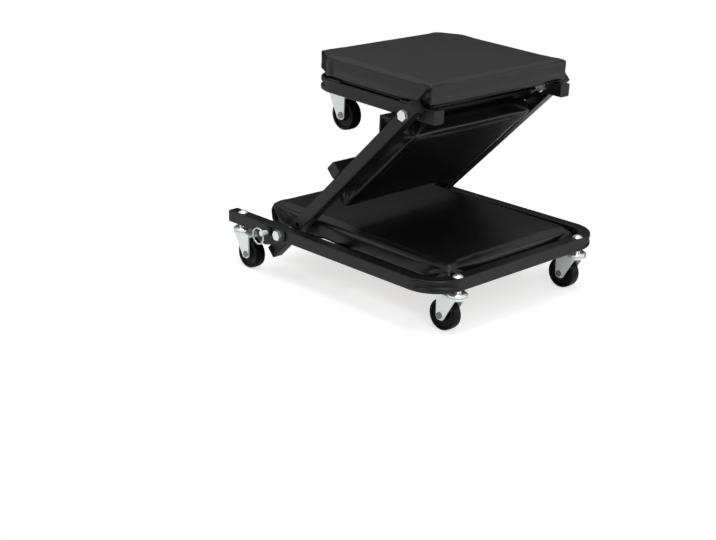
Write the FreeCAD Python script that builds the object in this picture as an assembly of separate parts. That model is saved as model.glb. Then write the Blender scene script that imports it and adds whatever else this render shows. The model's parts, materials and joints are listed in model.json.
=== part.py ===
import FreeCAD, Part
import math
import os

# Folding workshop stool that opens out into a low creeper, in millimetres and degrees.
# Each section is drawn lying flat, as in the creeper, with its pad up and the foot end at +X,
# and is then turned about its hinge into the stool, which is the pose that is written out.

# Square tube that all three frames are made of
TUBE = 22.0
WALL = 1.5
TUBE_CORNER = 2.5

# Base section: a U of tube, open at the hinge end, whose legs run on past the hinge
PIVOT_HEIGHT = 86.0
BASE_HALF_WIDTH = 211.0
FOOT_REACH = 376.0
STUB_REACH = 141.0
BASE_BEND = 60.0

# Middle section: two rails inside the base, joined by a cross tube
MID_LENGTH = 376.0
MID_LOWER_TAIL = 73.0
MID_UPPER_TAIL = 21.0
CROSS_TUBE_PLACE = 174.0

# Head section: a U of tube inside the middle rails, open towards the hinge
HEAD_REACH = 251.0
HEAD_TAIL = 40.0
HEAD_BEND = 50.0

# Stool pose
REST_INCLINE = 43.6
SEAT_TILT = 2.2

# Squashed outer face of every tube bend
CRIMP_DEPTH = 3.6
CRIMP_RADIUS = 4.6
CRIMP_SHIFT = 25.0

# Hinge bolts, with a washer between neighbouring rails
HINGE_RADIUS = 5.0
HINGE_FIT = 0.06
HINGE_WASHER = 1.5
HINGE_WASHER_RADIUS = 10.0
HINGE_HEAD_FLATS = 16.0
HINGE_HEAD = 6.4
HINGE_NUT = 7.0
RUNNING_GAP = 0.3

# Hinge plate on the outside of each base rail, and the pull pin that it guides
PLATE = 3.0
PLATE_TOP = 1.0
PLATE_HINGE_RADIUS = 16.0
PLATE_LOBE_RADIUS = 22.0
PLATE_LOBE_PLACE = 38.0
PLATE_LOBE_DROP = 4.5
PIN_PLACE = 26.0
PIN_RADIUS = 4.0
PIN_FIT = 0.06
PIN_GUIDE_RADIUS = 8.0
PIN_GUIDE = 5.0
PIN_TRAVEL = 5.5
PIN_KNOB_RADIUS = 4.8
PIN_KNOB = 7.0
RING_RADIUS = 14.0
RING_WIRE = 1.5
RING_HANG = 34.0

# Stops welded to the middle rails
STOP_PLATE = 4.0
STOP_PLATE_LENGTH = 20.0
STOP_ANGLE_LEG = 27.0
STOP_ANGLE_WALL = 3.0

# Flat cross straps under the boards
STRAP = 3.0
STRAP_WIDTH = 28.0
BASE_STRAP_FROM_HINGE = 100.0
BASE_STRAP_FROM_FOOT = 76.0
MID_STRAP_PLACES = (130.0, 286.0)
HEAD_STRAP_PLACES = (20.0, 190.0)
BOARD_LEVEL = -8.0

# Boards and cushions
BOARD = 8.0
PAD_HEM = 4.0
CUSHION_GAP = 0.4
EDGE_ROLL = 7.0
SIDE_BOW = 2.0
CROWN = 4.0
BASE_PAD_SIDE_GAP = 8.5
BASE_PAD_FOOT_GAP = 6.0
BASE_PAD_OVERHANG = 94.0
BASE_PAD_HEIGHT = 32.0
BASE_PAD_CORNER = 9.0
PAD_SEAM = 8.0
MID_PAD_SIDE_GAP = 3.0
MID_PAD_END = 329.0
MID_PAD_HEIGHT = 28.0
MID_PAD_CORNER = 9.0
SEAT_SIDE_GAP = 1.2
SEAT_OVERHANG = 33.0
SEAT_OUTER_OVERHANG = 1.0
SEAT_HEIGHT = 32.0
SEAT_CORNER = 6.0
SEAT_CUT_LENGTH = 45.0
SEAT_CUT_WIDTH = 27.0

# Pad screws
SCREW_RADIUS = 2.2
SCREW_FIT = 0.05
SCREW_HEAD_RADIUS = 4.5
SCREW_HEAD = 2.6
SCREW_SPREAD = 0.62
SCREW_DEPTH = 0.8

# Casters
FRONT_CASTER_INSET = 61.0
STUB_CASTER_INSET = 25.0
HEAD_CASTER_INSET = 57.0
WHEEL_RADIUS = 27.0
WHEEL_WIDTH = 21.0
TREAD_ROUND = 3.6
HUB_RADIUS = 9.0
HUB_PROUD = 0.8
FACE_RECESS = 3.0
FACE_DRAFT = 1.0
RIM_WIDTH = 6.0
CASTER_TRAIL = 24.5
FORK_PLATE = 2.5
FORK_SIDE_GAP = 0.35
FORK_BOSS = 7.5
FORK_NOSE = 7.0
FORK_DROP = 4.0
AXLE_RADIUS = 4.0
AXLE_FIT = 0.06
AXLE_HEAD_RADIUS = 5.6
AXLE_HEAD = 1.6
RACE_RADIUS = 17.0
RACE = 6.0
RACE_NECK = 4.5
RACE_NECK_RADIUS = 7.0
LOWER_RING_RADIUS = 13.0
LOWER_RING = 3.0
KING_RADIUS = 5.0
KING_FIT = 0.06
KING_HEAD_RADIUS = 9.0
KING_HEAD = 4.2

# Plastic plugs in the open tube ends
PLUG_CAP = 2.0
PLUG_STEM = 14.0
PLUG_FIT = 0.1

# Values that follow from the driving dimensions
V = FreeCAD.Vector
X_AXIS = V(1, 0, 0)
Y_AXIS = V(0, 1, 0)
Z_AXIS = V(0, 0, 1)
HALF = TUBE / 2
BORE = TUBE - 2 * WALL
RAIL_STEP = TUBE + HINGE_WASHER
BASE_RAIL_Y = BASE_HALF_WIDTH - HALF
MID_RAIL_Y = BASE_RAIL_Y - RAIL_STEP
HEAD_RAIL_Y = MID_RAIL_Y - RAIL_STEP
HEAD_HALF_WIDTH = HEAD_RAIL_Y + HALF
BASE_PAD_HALF_WIDTH = MID_RAIL_Y - HALF - BASE_PAD_SIDE_GAP
BASE_STRAP_PLACES = (BASE_STRAP_FROM_HINGE, FOOT_REACH - BASE_STRAP_FROM_FOOT)
FRONT_CASTER_HALF_SPACING = BASE_HALF_WIDTH - FRONT_CASTER_INSET
HEAD_CASTER_HALF_SPACING = HEAD_HALF_WIDTH - HEAD_CASTER_INSET
STUB_CASTER_PLACE = STUB_REACH - STUB_CASTER_INSET
FOOT_BAR_X = FOOT_REACH - HALF
HEAD_BAR_X = HALF - HEAD_REACH
FLOOR = -PIVOT_HEIGHT
FOLD_ANGLE = 180.0 - REST_INCLINE
STOP_LEG_ANGLE = REST_INCLINE + SEAT_TILT
PLATE_FACE_Y = BASE_HALF_WIDTH + PLATE
SEAT_LEVEL = HALF + STRAP
BOARD_INSET = EDGE_ROLL / 2 + SIDE_BOW + PAD_HEM
HEAD_KING_HEAD = STRAP - RUNNING_GAP
KNOB_FACE_Y = PLATE_FACE_Y + PIN_GUIDE + RUNNING_GAP + PIN_TRAVEL
SIDES = {"left": 1, "right": -1}

# Foremost and rearmost points of the stool, which set the middle of its length
FOREMOST = max(FOOT_REACH, FOOT_BAR_X + RACE_RADIUS)
REARMOST = -(STUB_REACH + PLUG_CAP)
PIVOT = V(-(FOREMOST + REARMOST) / 2, 0, PIVOT_HEIGHT)
INCLINE = math.radians(REST_INCLINE)
UPPER_PIVOT = PIVOT + V(math.cos(INCLINE), 0, math.sin(INCLINE)) * MID_LENGTH

nodes = {}


def in_plan(u, v):
    """Point of a drawing seen from above."""
    return V(u, v, 0)


def in_elevation(u, v):
    """Point of a drawing seen from the side, with v up."""
    return V(u, 0, v)


def in_section(u, v):
    """Point of a drawing seen from the end, with v up."""
    return V(0, u, v)


def outline(corners, plane, bow=0.0):
    """Closed wire through (u, v, radius) corners, with its straight sides drawn in by bow."""
    points = [FreeCAD.Vector(u, v, 0) for u, v, _ in corners]
    count = len(points)
    arcs = []
    for i, (_, _, radius) in enumerate(corners):
        back = (points[i - 1] - points[i]).normalize()
        ahead = (points[(i + 1) % count] - points[i]).normalize()
        half_angle = back.getAngle(ahead) / 2
        bisector = (back + ahead).normalize()
        reach = radius / math.tan(half_angle)
        to_middle = radius / math.sin(half_angle) - radius
        arcs.append((points[i] + back * reach, points[i] + bisector * to_middle, points[i] + ahead * reach))
    middle = sum(points, V()) * (1 / count)
    edges = []
    for i, (start, crest, end) in enumerate(arcs):
        if corners[i][2] > 0:
            edges.append(Part.Arc(plane(start.x, start.y), plane(crest.x, crest.y), plane(end.x, end.y)))
        after = arcs[(i + 1) % count][0]
        if bow > 0:
            inward = V(-(after - end).y, (after - end).x, 0).normalize()
            if inward.dot(middle - end) < 0:
                inward = inward * -1
            waist = (end + after) * 0.5 + inward * bow
            edges.append(Part.Arc(plane(end.x, end.y), plane(waist.x, waist.y), plane(after.x, after.y)))
        elif (after - end).Length > 1e-6:
            edges.append(Part.LineSegment(plane(end.x, end.y), plane(after.x, after.y)))
    return Part.Wire([edge.toShape() for edge in edges])


def slab(corners, plane, start, thickness):
    """Flat solid of the given outline, from start, with its thickness as a vector."""
    face = Part.Face(outline(corners, plane))
    face.translate(start)
    return face.extrude(thickness)


def block(x, y, z):
    """Box between the given pairs of limits."""
    return Part.makeBox(x[1] - x[0], y[1] - y[0], z[1] - z[0], V(x[0], y[0], z[0]))


def rod(radius, start, along):
    """Round bar from start, with its length and direction as a vector."""
    return Part.makeCylinder(radius, along.Length, start, along)


def hexagon(flats, start, along):
    """Hexagonal bar across Y, from start."""
    radius = flats / math.sqrt(3)
    turns = [math.radians(60 * i) for i in range(6)]
    corners = [(radius * math.cos(turn), radius * math.sin(turn), 0) for turn in turns]
    return slab(corners, in_elevation, start, along)


def square(side, corner):
    """Corners of a tube's section about its own middle."""
    h = side / 2
    return [(-h, -h, corner), (h, -h, corner), (h, h, corner), (-h, h, corner)]


def tube_bar(side, corner, start, along):
    """Square bar from start along X or Y."""
    plane = in_section if abs(along.x) > 0 else in_elevation
    return slab(square(side, corner), plane, start, along)


def straight_tube(start, along):
    """Square tube, open at both ends."""
    bore = tube_bar(BORE, 0, start, along)
    return tube_bar(TUBE, TUBE_CORNER, start, along).cut(bore)


def bent_bar(side, corner, tail, half_width, reach, bend, dent):
    """U of square bar with its cross bar at +X, each bend dented by a ring of radius dent."""
    rail_y = half_width - HALF
    bar_x = reach - HALF
    turn_x = reach - bend
    turn_y = half_width - bend
    pieces = [tube_bar(side, corner, V(bar_x, -turn_y, 0), Y_AXIS * (2 * turn_y))]
    dents = []
    for sign in SIDES.values():
        rail = tube_bar(side, corner, V(tail, sign * rail_y, 0), X_AXIS * (turn_x - tail))
        face = Part.Face(outline(square(side, corner), in_section))
        face.translate(V(turn_x, sign * rail_y, 0))
        turn = face.revolve(V(turn_x, sign * turn_y, 0), Z_AXIS, -90 * sign)
        pieces += [rail, turn]
        outward = V(1, sign, 0).normalize()
        dent_middle = V(turn_x, sign * turn_y, 0) - outward * CRIMP_SHIFT
        dent_sweep = bend + CRIMP_SHIFT + CRIMP_RADIUS - CRIMP_DEPTH
        corner_y = sorted((sign * turn_y, sign * (turn_y + 2 * bend)))
        corner_block = block((turn_x, turn_x + 2 * bend), corner_y, (-TUBE, TUBE))
        dents.append(Part.makeTorus(dent_sweep, dent, dent_middle, Z_AXIS).common(corner_block))
    return pieces[0].fuse(pieces[1:]).removeSplitter().cut(dents)


def bent_frame(tail, half_width, reach, bend):
    """U-bent square tube whose bends are squashed on their outer face."""
    outside = bent_bar(TUBE, TUBE_CORNER, tail, half_width, reach, bend, CRIMP_RADIUS)
    bore = bent_bar(BORE, 0, tail, half_width, reach, bend, CRIMP_RADIUS + WALL)
    return outside.cut(bore)


def cross_hole(radius, x, z, y, sign):
    """Cutter for a hole right across one rail at height z, whose middle is at y."""
    return rod(radius, V(x, sign * (y - TUBE), z), Y_AXIS * (sign * 2 * TUBE))


def king_hole(x, y):
    """Cutter for a caster's king bolt through a tube."""
    return rod(KING_RADIUS + KING_FIT, V(x, y, -TUBE), Z_AXIS * (2 * TUBE))


def plug(end, outward):
    """Plug at the end of a tube, with its cap outside and a square stem in the bore."""
    cap = tube_bar(TUBE, TUBE_CORNER, end, outward * PLUG_CAP)
    stem = tube_bar(BORE - 2 * PLUG_FIT, 0, end, outward * -PLUG_STEM)
    return cap.fuse(stem).removeSplitter()


def inset(corners, distance):
    """Corners drawn in about the outline's middle, by distance at its ends and sides."""
    low = min(c[0] for c in corners)
    high = max(c[0] for c in corners)
    middle = (low + high) / 2
    shrink_u = 1 - 2 * distance / (high - low)
    shrink_v = 1 - distance / max(c[1] for c in corners)
    return [
        (middle + (u - middle) * shrink_u, v * shrink_v, radius * min(shrink_u, shrink_v))
        for u, v, radius in corners
    ]


def cushion(corners, level, height):
    """Crowned pad with rolled edges and drawn-in sides."""
    half_width = max(c[1] for c in corners)
    sections = [
        (EDGE_ROLL / 2, 0.0),
        (0.0, EDGE_ROLL / 2),
        (0.0, height - EDGE_ROLL),
        (EDGE_ROLL * 0.3, height - EDGE_ROLL * 0.3),
        (EDGE_ROLL, height),
        (half_width / 5, height + CROWN * 0.6),
        (half_width / 2, height + CROWN),
    ]
    wires = []
    for move, lift in sections:
        wire = outline(inset(corners, move), in_plan, SIDE_BOW)
        wire.translate(V(0, 0, level + lift))
        wires.append(wire)
    return Part.makeLoft(wires, True, True)


def rectangle(x_low, x_high, half_width, radius):
    """Corners of a plan rectangle about the middle line."""
    return [
        (x_low, -half_width, radius),
        (x_high, -half_width, radius),
        (x_high, half_width, radius),
        (x_low, half_width, radius),
    ]


def cut_rectangle(x_low, x_high, half_width, radius, cut_length, cut_width):
    """Corners of a plan rectangle whose two -X corners are cut off."""
    return [
        (x_high, -half_width, radius),
        (x_high, half_width, radius),
        (x_low + cut_length, half_width, radius),
        (x_low, half_width - cut_width, radius),
        (x_low, cut_width - half_width, radius),
        (x_low + cut_length, -half_width, radius),
    ]


def screw_points(places, half_width):
    """Plan positions of the pad screws: two in each strap."""
    return [(x, sign * half_width * SCREW_SPREAD) for x in places for sign in SIDES.values()]


def pad_screw(x, y, level):
    """Pan-head screw up through a strap into the board that lies on it at level."""
    head = rod(SCREW_HEAD_RADIUS, V(x, y, level - STRAP), Z_AXIS * -SCREW_HEAD)
    shank = rod(SCREW_RADIUS, V(x, y, level - STRAP), Z_AXIS * (STRAP + BOARD * SCREW_DEPTH))
    return head.fuse(shank)


def straps(places, half_length, level, pad_half_width):
    """Flat steel straps across a frame, under a board at level, drilled for its screws."""
    bars = []
    for x in places:
        run = (x - STRAP_WIDTH / 2, x + STRAP_WIDTH / 2)
        bar = block(run, (-half_length, half_length), (level - STRAP, level))
        points = [V(sx, sy, level - STRAP) for sx, sy in screw_points((x,), pad_half_width)]
        bars.append(bar.cut([rod(SCREW_RADIUS + SCREW_FIT, point, Z_AXIS * STRAP) for point in points]))
    return Part.makeCompound(bars)


def padded_board(prefix, corners, level, height, places):
    """Nodes of one padded board: plywood, cushion over and round it, and its screws."""
    half_width = max(c[1] for c in corners)
    screws = screw_points(places, half_width)
    board_outline = inset(corners, BOARD_INSET)
    board = slab(board_outline, in_plan, V(0, 0, level), Z_AXIS * BOARD)
    depth = Z_AXIS * (BOARD * SCREW_DEPTH + SCREW_FIT)
    holes = [rod(SCREW_RADIUS + SCREW_FIT, V(x, y, level), depth) for x, y in screws]
    pocket_outline = inset(corners, BOARD_INSET - CUSHION_GAP)
    pocket_height = EDGE_ROLL + BOARD + CUSHION_GAP
    pocket = slab(pocket_outline, in_plan, V(0, 0, level - EDGE_ROLL), Z_AXIS * pocket_height)
    pad = cushion(corners, level + CUSHION_GAP, height).cut(pocket)
    return {
        prefix + "_board": board.cut(holes),
        prefix + "_pad": pad,
        prefix + "_pad_screws": Part.makeCompound([pad_screw(x, y, level) for x, y in screws]),
    }


def hinge_hardware(x, outer_face, inner_rail_y):
    """Bolts, nuts and washers of a pair of hinges whose inner rail is at inner_rail_y."""
    bolts = []
    nuts = []
    washers = []
    inner_face = inner_rail_y - HALF - RUNNING_GAP
    for sign in SIDES.values():
        out = Y_AXIS * sign
        head = hexagon(HINGE_HEAD_FLATS, V(x, sign * outer_face, 0), out * HINGE_HEAD)
        shank_length = outer_face - inner_face + HINGE_NUT
        shank = rod(HINGE_RADIUS, V(x, sign * outer_face, 0), out * -shank_length)
        bolts.append(head.fuse(shank))
        nut = hexagon(HINGE_HEAD_FLATS, V(x, sign * inner_face, 0), out * -HINGE_NUT)
        bore = rod(HINGE_RADIUS + HINGE_FIT, V(x, sign * inner_face, 0), out * -HINGE_NUT)
        nuts.append(nut.cut(bore))
        gap_face = V(x, sign * (inner_rail_y + HALF), 0)
        disc = rod(HINGE_WASHER_RADIUS, gap_face, out * HINGE_WASHER)
        washers.append(disc.cut(rod(HINGE_RADIUS + HINGE_FIT, gap_face, out * HINGE_WASHER)))
    return Part.makeCompound(bolts), Part.makeCompound(nuts), Part.makeCompound(washers)


def king_bolt(x, y, head):
    """Dome-headed bolt down through a tube and its caster's swivel bearing."""
    ball = (KING_HEAD_RADIUS**2 + head**2) / (2 * head)
    dome = Part.makeSphere(ball, V(x, y, HALF + head - ball))
    dome = dome.common(rod(KING_HEAD_RADIUS, V(x, y, HALF), Z_AXIS * head))
    shank_length = TUBE + RACE_NECK + RACE + RUNNING_GAP + FORK_PLATE + LOWER_RING
    return dome.fuse(rod(KING_RADIUS, V(x, y, HALF), Z_AXIS * -shank_length))


def turned(corners, axis_at, axis):
    """Solid of revolution of a section drawn as (radius, distance along the axis, rounding)."""
    plane = in_elevation if abs(axis.z) > 0 else in_plan
    ring = Part.Face(outline(corners, plane)).revolve(V(), axis, 360)
    ring.translate(axis_at)
    return ring


def race(x, y):
    """Fixed upper cup of a caster's swivel bearing, with the neck that meets the tube."""
    bore = KING_RADIUS + KING_FIT
    top = -HALF
    brim = top - RACE_NECK
    foot = brim - RACE
    section = [
        (bore, top, 0),
        (RACE_NECK_RADIUS, top, 0),
        (RACE_NECK_RADIUS, brim, 0),
        (RACE_RADIUS * 0.85, brim, 0),
        (RACE_RADIUS, brim - RACE * 0.4, 0),
        (RACE_RADIUS, foot + RACE * 0.15, 0),
        (RACE_RADIUS * 0.95, foot, 0),
        (bore, foot, 0),
    ]
    return turned(section, V(x, y, 0), Z_AXIS)


def fork(x, y, trail):
    """Pressed fork: a crown under the race, two tapering legs and the bearing's lower ring."""
    crown_top = -HALF - RACE_NECK - RACE - RUNNING_GAP
    crown_low = crown_top - FORK_PLATE
    axle_z = FLOOR + WHEEL_RADIUS
    inner = WHEEL_WIDTH / 2 + HUB_PROUD + FORK_SIDE_GAP
    outer = inner + FORK_PLATE
    way = 1 if trail > 0 else -1
    back = trail + way * FORK_BOSS
    nose = -way * FORK_NOSE
    crown = rod(RACE_RADIUS, V(0, 0, crown_top), Z_AXIS * -FORK_PLATE)
    deck = block((min(0, back), max(0, back)), (-outer, outer), (crown_low, crown_top))
    leg_corners = [
        (nose, crown_top, 1),
        (nose, crown_top - FORK_DROP, 1),
        (trail - way * FORK_BOSS, axle_z - FORK_BOSS, FORK_BOSS * 0.7),
        (back, axle_z - FORK_BOSS, FORK_BOSS * 0.9),
        (back, crown_top, 1),
    ]
    solid = crown.fuse(deck)
    for sign in SIDES.values():
        leg = slab(leg_corners, in_elevation, V(0, sign * inner, 0), Y_AXIS * (sign * FORK_PLATE))
        solid = solid.fuse(leg)
    lower_ring = rod(LOWER_RING_RADIUS, V(0, 0, crown_low), Z_AXIS * -LOWER_RING)
    between_legs = block((-RACE_RADIUS, RACE_RADIUS), (-inner, inner), (crown_low - LOWER_RING, crown_low))
    solid = solid.fuse(lower_ring.common(between_legs))
    solid = solid.cut(rod(KING_RADIUS + KING_FIT, V(0, 0, crown_top), Z_AXIS * -(FORK_PLATE + LOWER_RING)))
    axle_hole = rod(AXLE_RADIUS + AXLE_FIT, V(trail, -2 * outer, axle_z), Y_AXIS * (4 * outer))
    solid = solid.cut(axle_hole).removeSplitter()
    solid.translate(V(x, y, 0))
    return solid


def axle(x, y, trail):
    """Riveted axle across the fork's legs."""
    half_length = WHEEL_WIDTH / 2 + HUB_PROUD + FORK_SIDE_GAP + FORK_PLATE
    axle_z = FLOOR + WHEEL_RADIUS
    middle = V(x + trail, y, axle_z)
    solid = rod(AXLE_RADIUS, middle - Y_AXIS * half_length, Y_AXIS * (2 * half_length))
    for sign in SIDES.values():
        end = middle + Y_AXIS * (sign * half_length)
        solid = solid.fuse(rod(AXLE_HEAD_RADIUS, end, Y_AXIS * (sign * AXLE_HEAD)))
    return solid


def wheel(x, y, trail):
    """Moulded wheel: a rounded tread, a recessed face and a hub that stands proud of it."""
    half = WHEEL_WIDTH / 2
    hub = half + HUB_PROUD
    web = half - FACE_RECESS
    bore = AXLE_RADIUS + AXLE_FIT
    rim = WHEEL_RADIUS - RIM_WIDTH
    near_side = [
        (bore, hub, 0),
        (HUB_RADIUS, hub, 0),
        (HUB_RADIUS + FACE_DRAFT, web, 0),
        (rim - FACE_DRAFT, web, 0),
        (rim, half, 0),
        (WHEEL_RADIUS - TREAD_ROUND, half, 0),
        (WHEEL_RADIUS - TREAD_ROUND / 4, half - TREAD_ROUND / 2, 0),
    ]
    far_side = [(radius, -along, rounding) for radius, along, rounding in reversed(near_side)]
    tread = [(WHEEL_RADIUS, half - 2 * TREAD_ROUND, 0), (WHEEL_RADIUS, 2 * TREAD_ROUND - half, 0)]
    return turned(near_side + tread + far_side, V(x + trail, y, FLOOR + WHEEL_RADIUS), Y_AXIS)


def place_base(shape):
    """Base section in the stool: lifted to the height of its hinge."""
    shape.translate(PIVOT)
    return shape


def place_mid(shape):
    """Middle section in the stool: turned up about the lower hinge."""
    shape.rotate(V(), Y_AXIS, FOLD_ANGLE)
    shape.translate(PIVOT)
    return shape


def place_head(shape):
    """Head section in the stool: carried on the upper hinge and resting on the stops."""
    shape.rotate(V(), Y_AXIS, SEAT_TILT)
    shape.translate(UPPER_PIVOT)
    return shape


def add(section, place):
    """Put a section's pieces in their stool pose and keep them by name."""
    for name, shape in section.items():
        nodes[name] = place(shape)


def casters(mounts):
    """Swivel casters by name, each mount given as its place and signed trail."""
    pieces = {}
    for name, (x, y, trail) in mounts.items():
        pieces["caster_fork_" + name] = fork(x, y, trail)
        pieces["caster_axle_" + name] = axle(x, y, trail)
        pieces["caster_wheel_" + name] = wheel(x, y, trail)
    return pieces


def base_section():
    """Base: bent frame, hinge plates, straps, padded board, hinge bolts and four casters."""
    mounts = {}
    for side, sign in SIDES.items():
        mounts["front_" + side] = (FOOT_BAR_X, sign * FRONT_CASTER_HALF_SPACING, -CASTER_TRAIL)
        mounts["rear_" + side] = (-STUB_CASTER_PLACE, sign * BASE_RAIL_Y, CASTER_TRAIL)
    seats = [(x, y) for x, y, _ in mounts.values()]
    frame = bent_frame(-STUB_REACH, BASE_HALF_WIDTH, FOOT_REACH, BASE_BEND)
    holes = [king_hole(x, y) for x, y in seats]
    for sign in SIDES.values():
        holes.append(cross_hole(HINGE_RADIUS + HINGE_FIT, 0, 0, BASE_RAIL_Y, sign))
        holes.append(cross_hole(PIN_RADIUS + PIN_FIT, -PIN_PLACE, 0, BASE_RAIL_Y, sign))
    pieces = {"base_frame": frame.cut(holes)}
    pieces["base_plugs"] = Part.makeCompound(
        [plug(V(-STUB_REACH, sign * BASE_RAIL_Y, 0), X_AXIS * -1) for sign in SIDES.values()]
    )
    for side, sign in SIDES.items():
        pieces["hinge_plate_" + side] = hinge_plate(sign)
    pieces["pin_guides"] = Part.makeCompound([pin_guide(sign) for sign in SIDES.values()])
    pad_foot = FOOT_REACH - TUBE - BASE_PAD_FOOT_GAP
    corners = rectangle(-BASE_PAD_OVERHANG, pad_foot, BASE_PAD_HALF_WIDTH, BASE_PAD_CORNER)
    pieces.update(padded_board("base", corners, BOARD_LEVEL, BASE_PAD_HEIGHT, BASE_STRAP_PLACES))
    pieces["base_straps"] = straps(BASE_STRAP_PLACES, BASE_RAIL_Y - HALF, BOARD_LEVEL, BASE_PAD_HALF_WIDTH)
    bolts, nuts, washers = hinge_hardware(0, PLATE_FACE_Y, MID_RAIL_Y)
    pieces["lower_hinge_bolts"] = bolts
    pieces["lower_hinge_nuts"] = nuts
    pieces["lower_hinge_washers"] = washers
    pieces["base_king_bolts"] = Part.makeCompound([king_bolt(x, y, KING_HEAD) for x, y in seats])
    pieces["base_caster_races"] = Part.makeCompound([race(x, y) for x, y in seats])
    pieces.update(casters(mounts))
    return pieces


def hinge_plate(sign):
    """Plate on the outside of a base rail: round about the hinge, with a lobe for the pull pin."""
    hinge = (0.0, 0.0, PLATE_HINGE_RADIUS)
    lobe = (-PLATE_LOBE_PLACE, -PLATE_LOBE_DROP, PLATE_LOBE_RADIUS)
    depth = Y_AXIS * (sign * PLATE)
    face_y = sign * BASE_HALF_WIDTH
    discs = [rod(radius, V(x, face_y, z), depth) for x, z, radius in (hinge, lobe)]
    along = math.atan2(lobe[1] - hinge[1], lobe[0] - hinge[0])
    spread = math.acos((hinge[2] - lobe[2]) / math.hypot(lobe[0] - hinge[0], lobe[1] - hinge[1]))
    corners = []
    for x, z, radius, turns in ((*hinge, (1, -1)), (*lobe, (-1, 1))):
        for turn in turns:
            angle = along + turn * spread
            corners.append((x + radius * math.cos(angle), z + radius * math.sin(angle), 0))
    plate = slab(corners, in_elevation, V(0, face_y, 0), depth).fuse(discs).removeSplitter()
    reach = PLATE_LOBE_PLACE + PLATE_LOBE_RADIUS + PLATE_HINGE_RADIUS
    above = block((-reach, reach), (-PLATE_FACE_Y, PLATE_FACE_Y), (HALF - PLATE_TOP, HALF + reach))
    holes = [cross_hole(HINGE_RADIUS + HINGE_FIT, 0, 0, BASE_RAIL_Y, sign)]
    holes.append(cross_hole(PIN_RADIUS + PIN_FIT, -PIN_PLACE, 0, BASE_RAIL_Y, sign))
    return plate.cut([above] + holes)


def pin_guide(sign):
    """Round guide of the pull pin, standing on the hinge plate."""
    start = V(-PIN_PLACE, sign * PLATE_FACE_Y, 0)
    along = Y_AXIS * (sign * PIN_GUIDE)
    return rod(PIN_GUIDE_RADIUS, start, along).cut(rod(PIN_RADIUS + PIN_FIT, start, along))


def pull_pin(sign):
    """Pull pin, drawn out to the base rail's inner face: a plain shank and a knob with an eye."""
    tip_y = BASE_RAIL_Y - HALF
    shank = rod(PIN_RADIUS, V(-PIN_PLACE, sign * tip_y, 0), Y_AXIS * (sign * (KNOB_FACE_Y - tip_y)))
    knob = rod(PIN_KNOB_RADIUS, V(-PIN_PLACE, sign * KNOB_FACE_Y, 0), Y_AXIS * (sign * PIN_KNOB))
    sag = PIN_KNOB_RADIUS**2 / (2 * RING_RADIUS)
    eye_radius = RING_WIRE + sag + RUNNING_GAP
    eye = rod(eye_radius, ring_eye(sign) - ring_tangent() * TUBE, ring_tangent() * (2 * TUBE))
    return shank.fuse(knob).cut(eye)


def ring_eye(sign):
    """Middle of the eye in the pull pin's knob."""
    return V(-PIN_PLACE, sign * (KNOB_FACE_Y + PIN_KNOB / 2), 0)


def ring_tangent():
    """Direction in which the ring passes through the eye."""
    hang = math.radians(RING_HANG)
    return V(math.sin(hang), 0, -math.cos(hang))


def pull_ring(sign):
    """Finger ring through the pull pin's eye, hanging to one side of it."""
    hang = math.radians(RING_HANG)
    middle = ring_eye(sign) + V(-math.cos(hang), 0, -math.sin(hang)) * RING_RADIUS
    return Part.makeTorus(RING_RADIUS, RING_WIRE, middle, Y_AXIS)


def mid_section():
    """Middle: two rails, cross tube, stops, straps, padded board and the upper hinge bolts."""
    pieces = {}
    plugs = []
    for side, sign in SIDES.items():
        length = MID_LOWER_TAIL + MID_LENGTH + MID_UPPER_TAIL
        rail = straight_tube(V(MID_LOWER_TAIL, sign * MID_RAIL_Y, 0), X_AXIS * -length)
        holes = [cross_hole(HINGE_RADIUS + HINGE_FIT, x, 0, MID_RAIL_Y, sign) for x in (0, -MID_LENGTH)]
        pin_hole = rod(PIN_RADIUS + PIN_FIT, V(-PIN_PLACE, sign * MID_RAIL_Y, 0), Y_AXIS * (sign * TUBE))
        pieces["mid_rail_" + side] = rail.cut(holes + [pin_hole])
        plugs.append(plug(V(MID_LOWER_TAIL, sign * MID_RAIL_Y, 0), X_AXIS))
        plugs.append(plug(V(-MID_LENGTH - MID_UPPER_TAIL, sign * MID_RAIL_Y, 0), X_AXIS * -1))
        pieces["fold_stop_" + side] = fold_stop(sign)
    pieces["seat_stop"] = seat_stop()
    cross_y = MID_RAIL_Y + HALF - PLUG_CAP
    cross_start = V(-CROSS_TUBE_PLACE, -cross_y, -TUBE)
    pieces["mid_cross_tube"] = straight_tube(cross_start, Y_AXIS * (2 * cross_y))
    for sign in SIDES.values():
        plugs.append(plug(V(-CROSS_TUBE_PLACE, sign * cross_y, -TUBE), Y_AXIS * sign))
    pieces["mid_plugs"] = Part.makeCompound(plugs)
    half_width = HEAD_RAIL_Y - HALF - MID_PAD_SIDE_GAP
    corners = rectangle(-MID_PAD_END, -BASE_PAD_OVERHANG - PAD_SEAM, half_width, MID_PAD_CORNER)
    places = [-place for place in MID_STRAP_PLACES]
    pieces.update(padded_board("mid", corners, BOARD_LEVEL, MID_PAD_HEIGHT, places))
    pieces["mid_straps"] = straps(places, MID_RAIL_Y - HALF, BOARD_LEVEL, half_width)
    bolts, nuts, washers = hinge_hardware(-MID_LENGTH, MID_RAIL_Y + HALF, HEAD_RAIL_Y)
    pieces["upper_hinge_bolts"] = bolts
    pieces["upper_hinge_nuts"] = nuts
    pieces["upper_hinge_washers"] = washers
    return pieces


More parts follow.
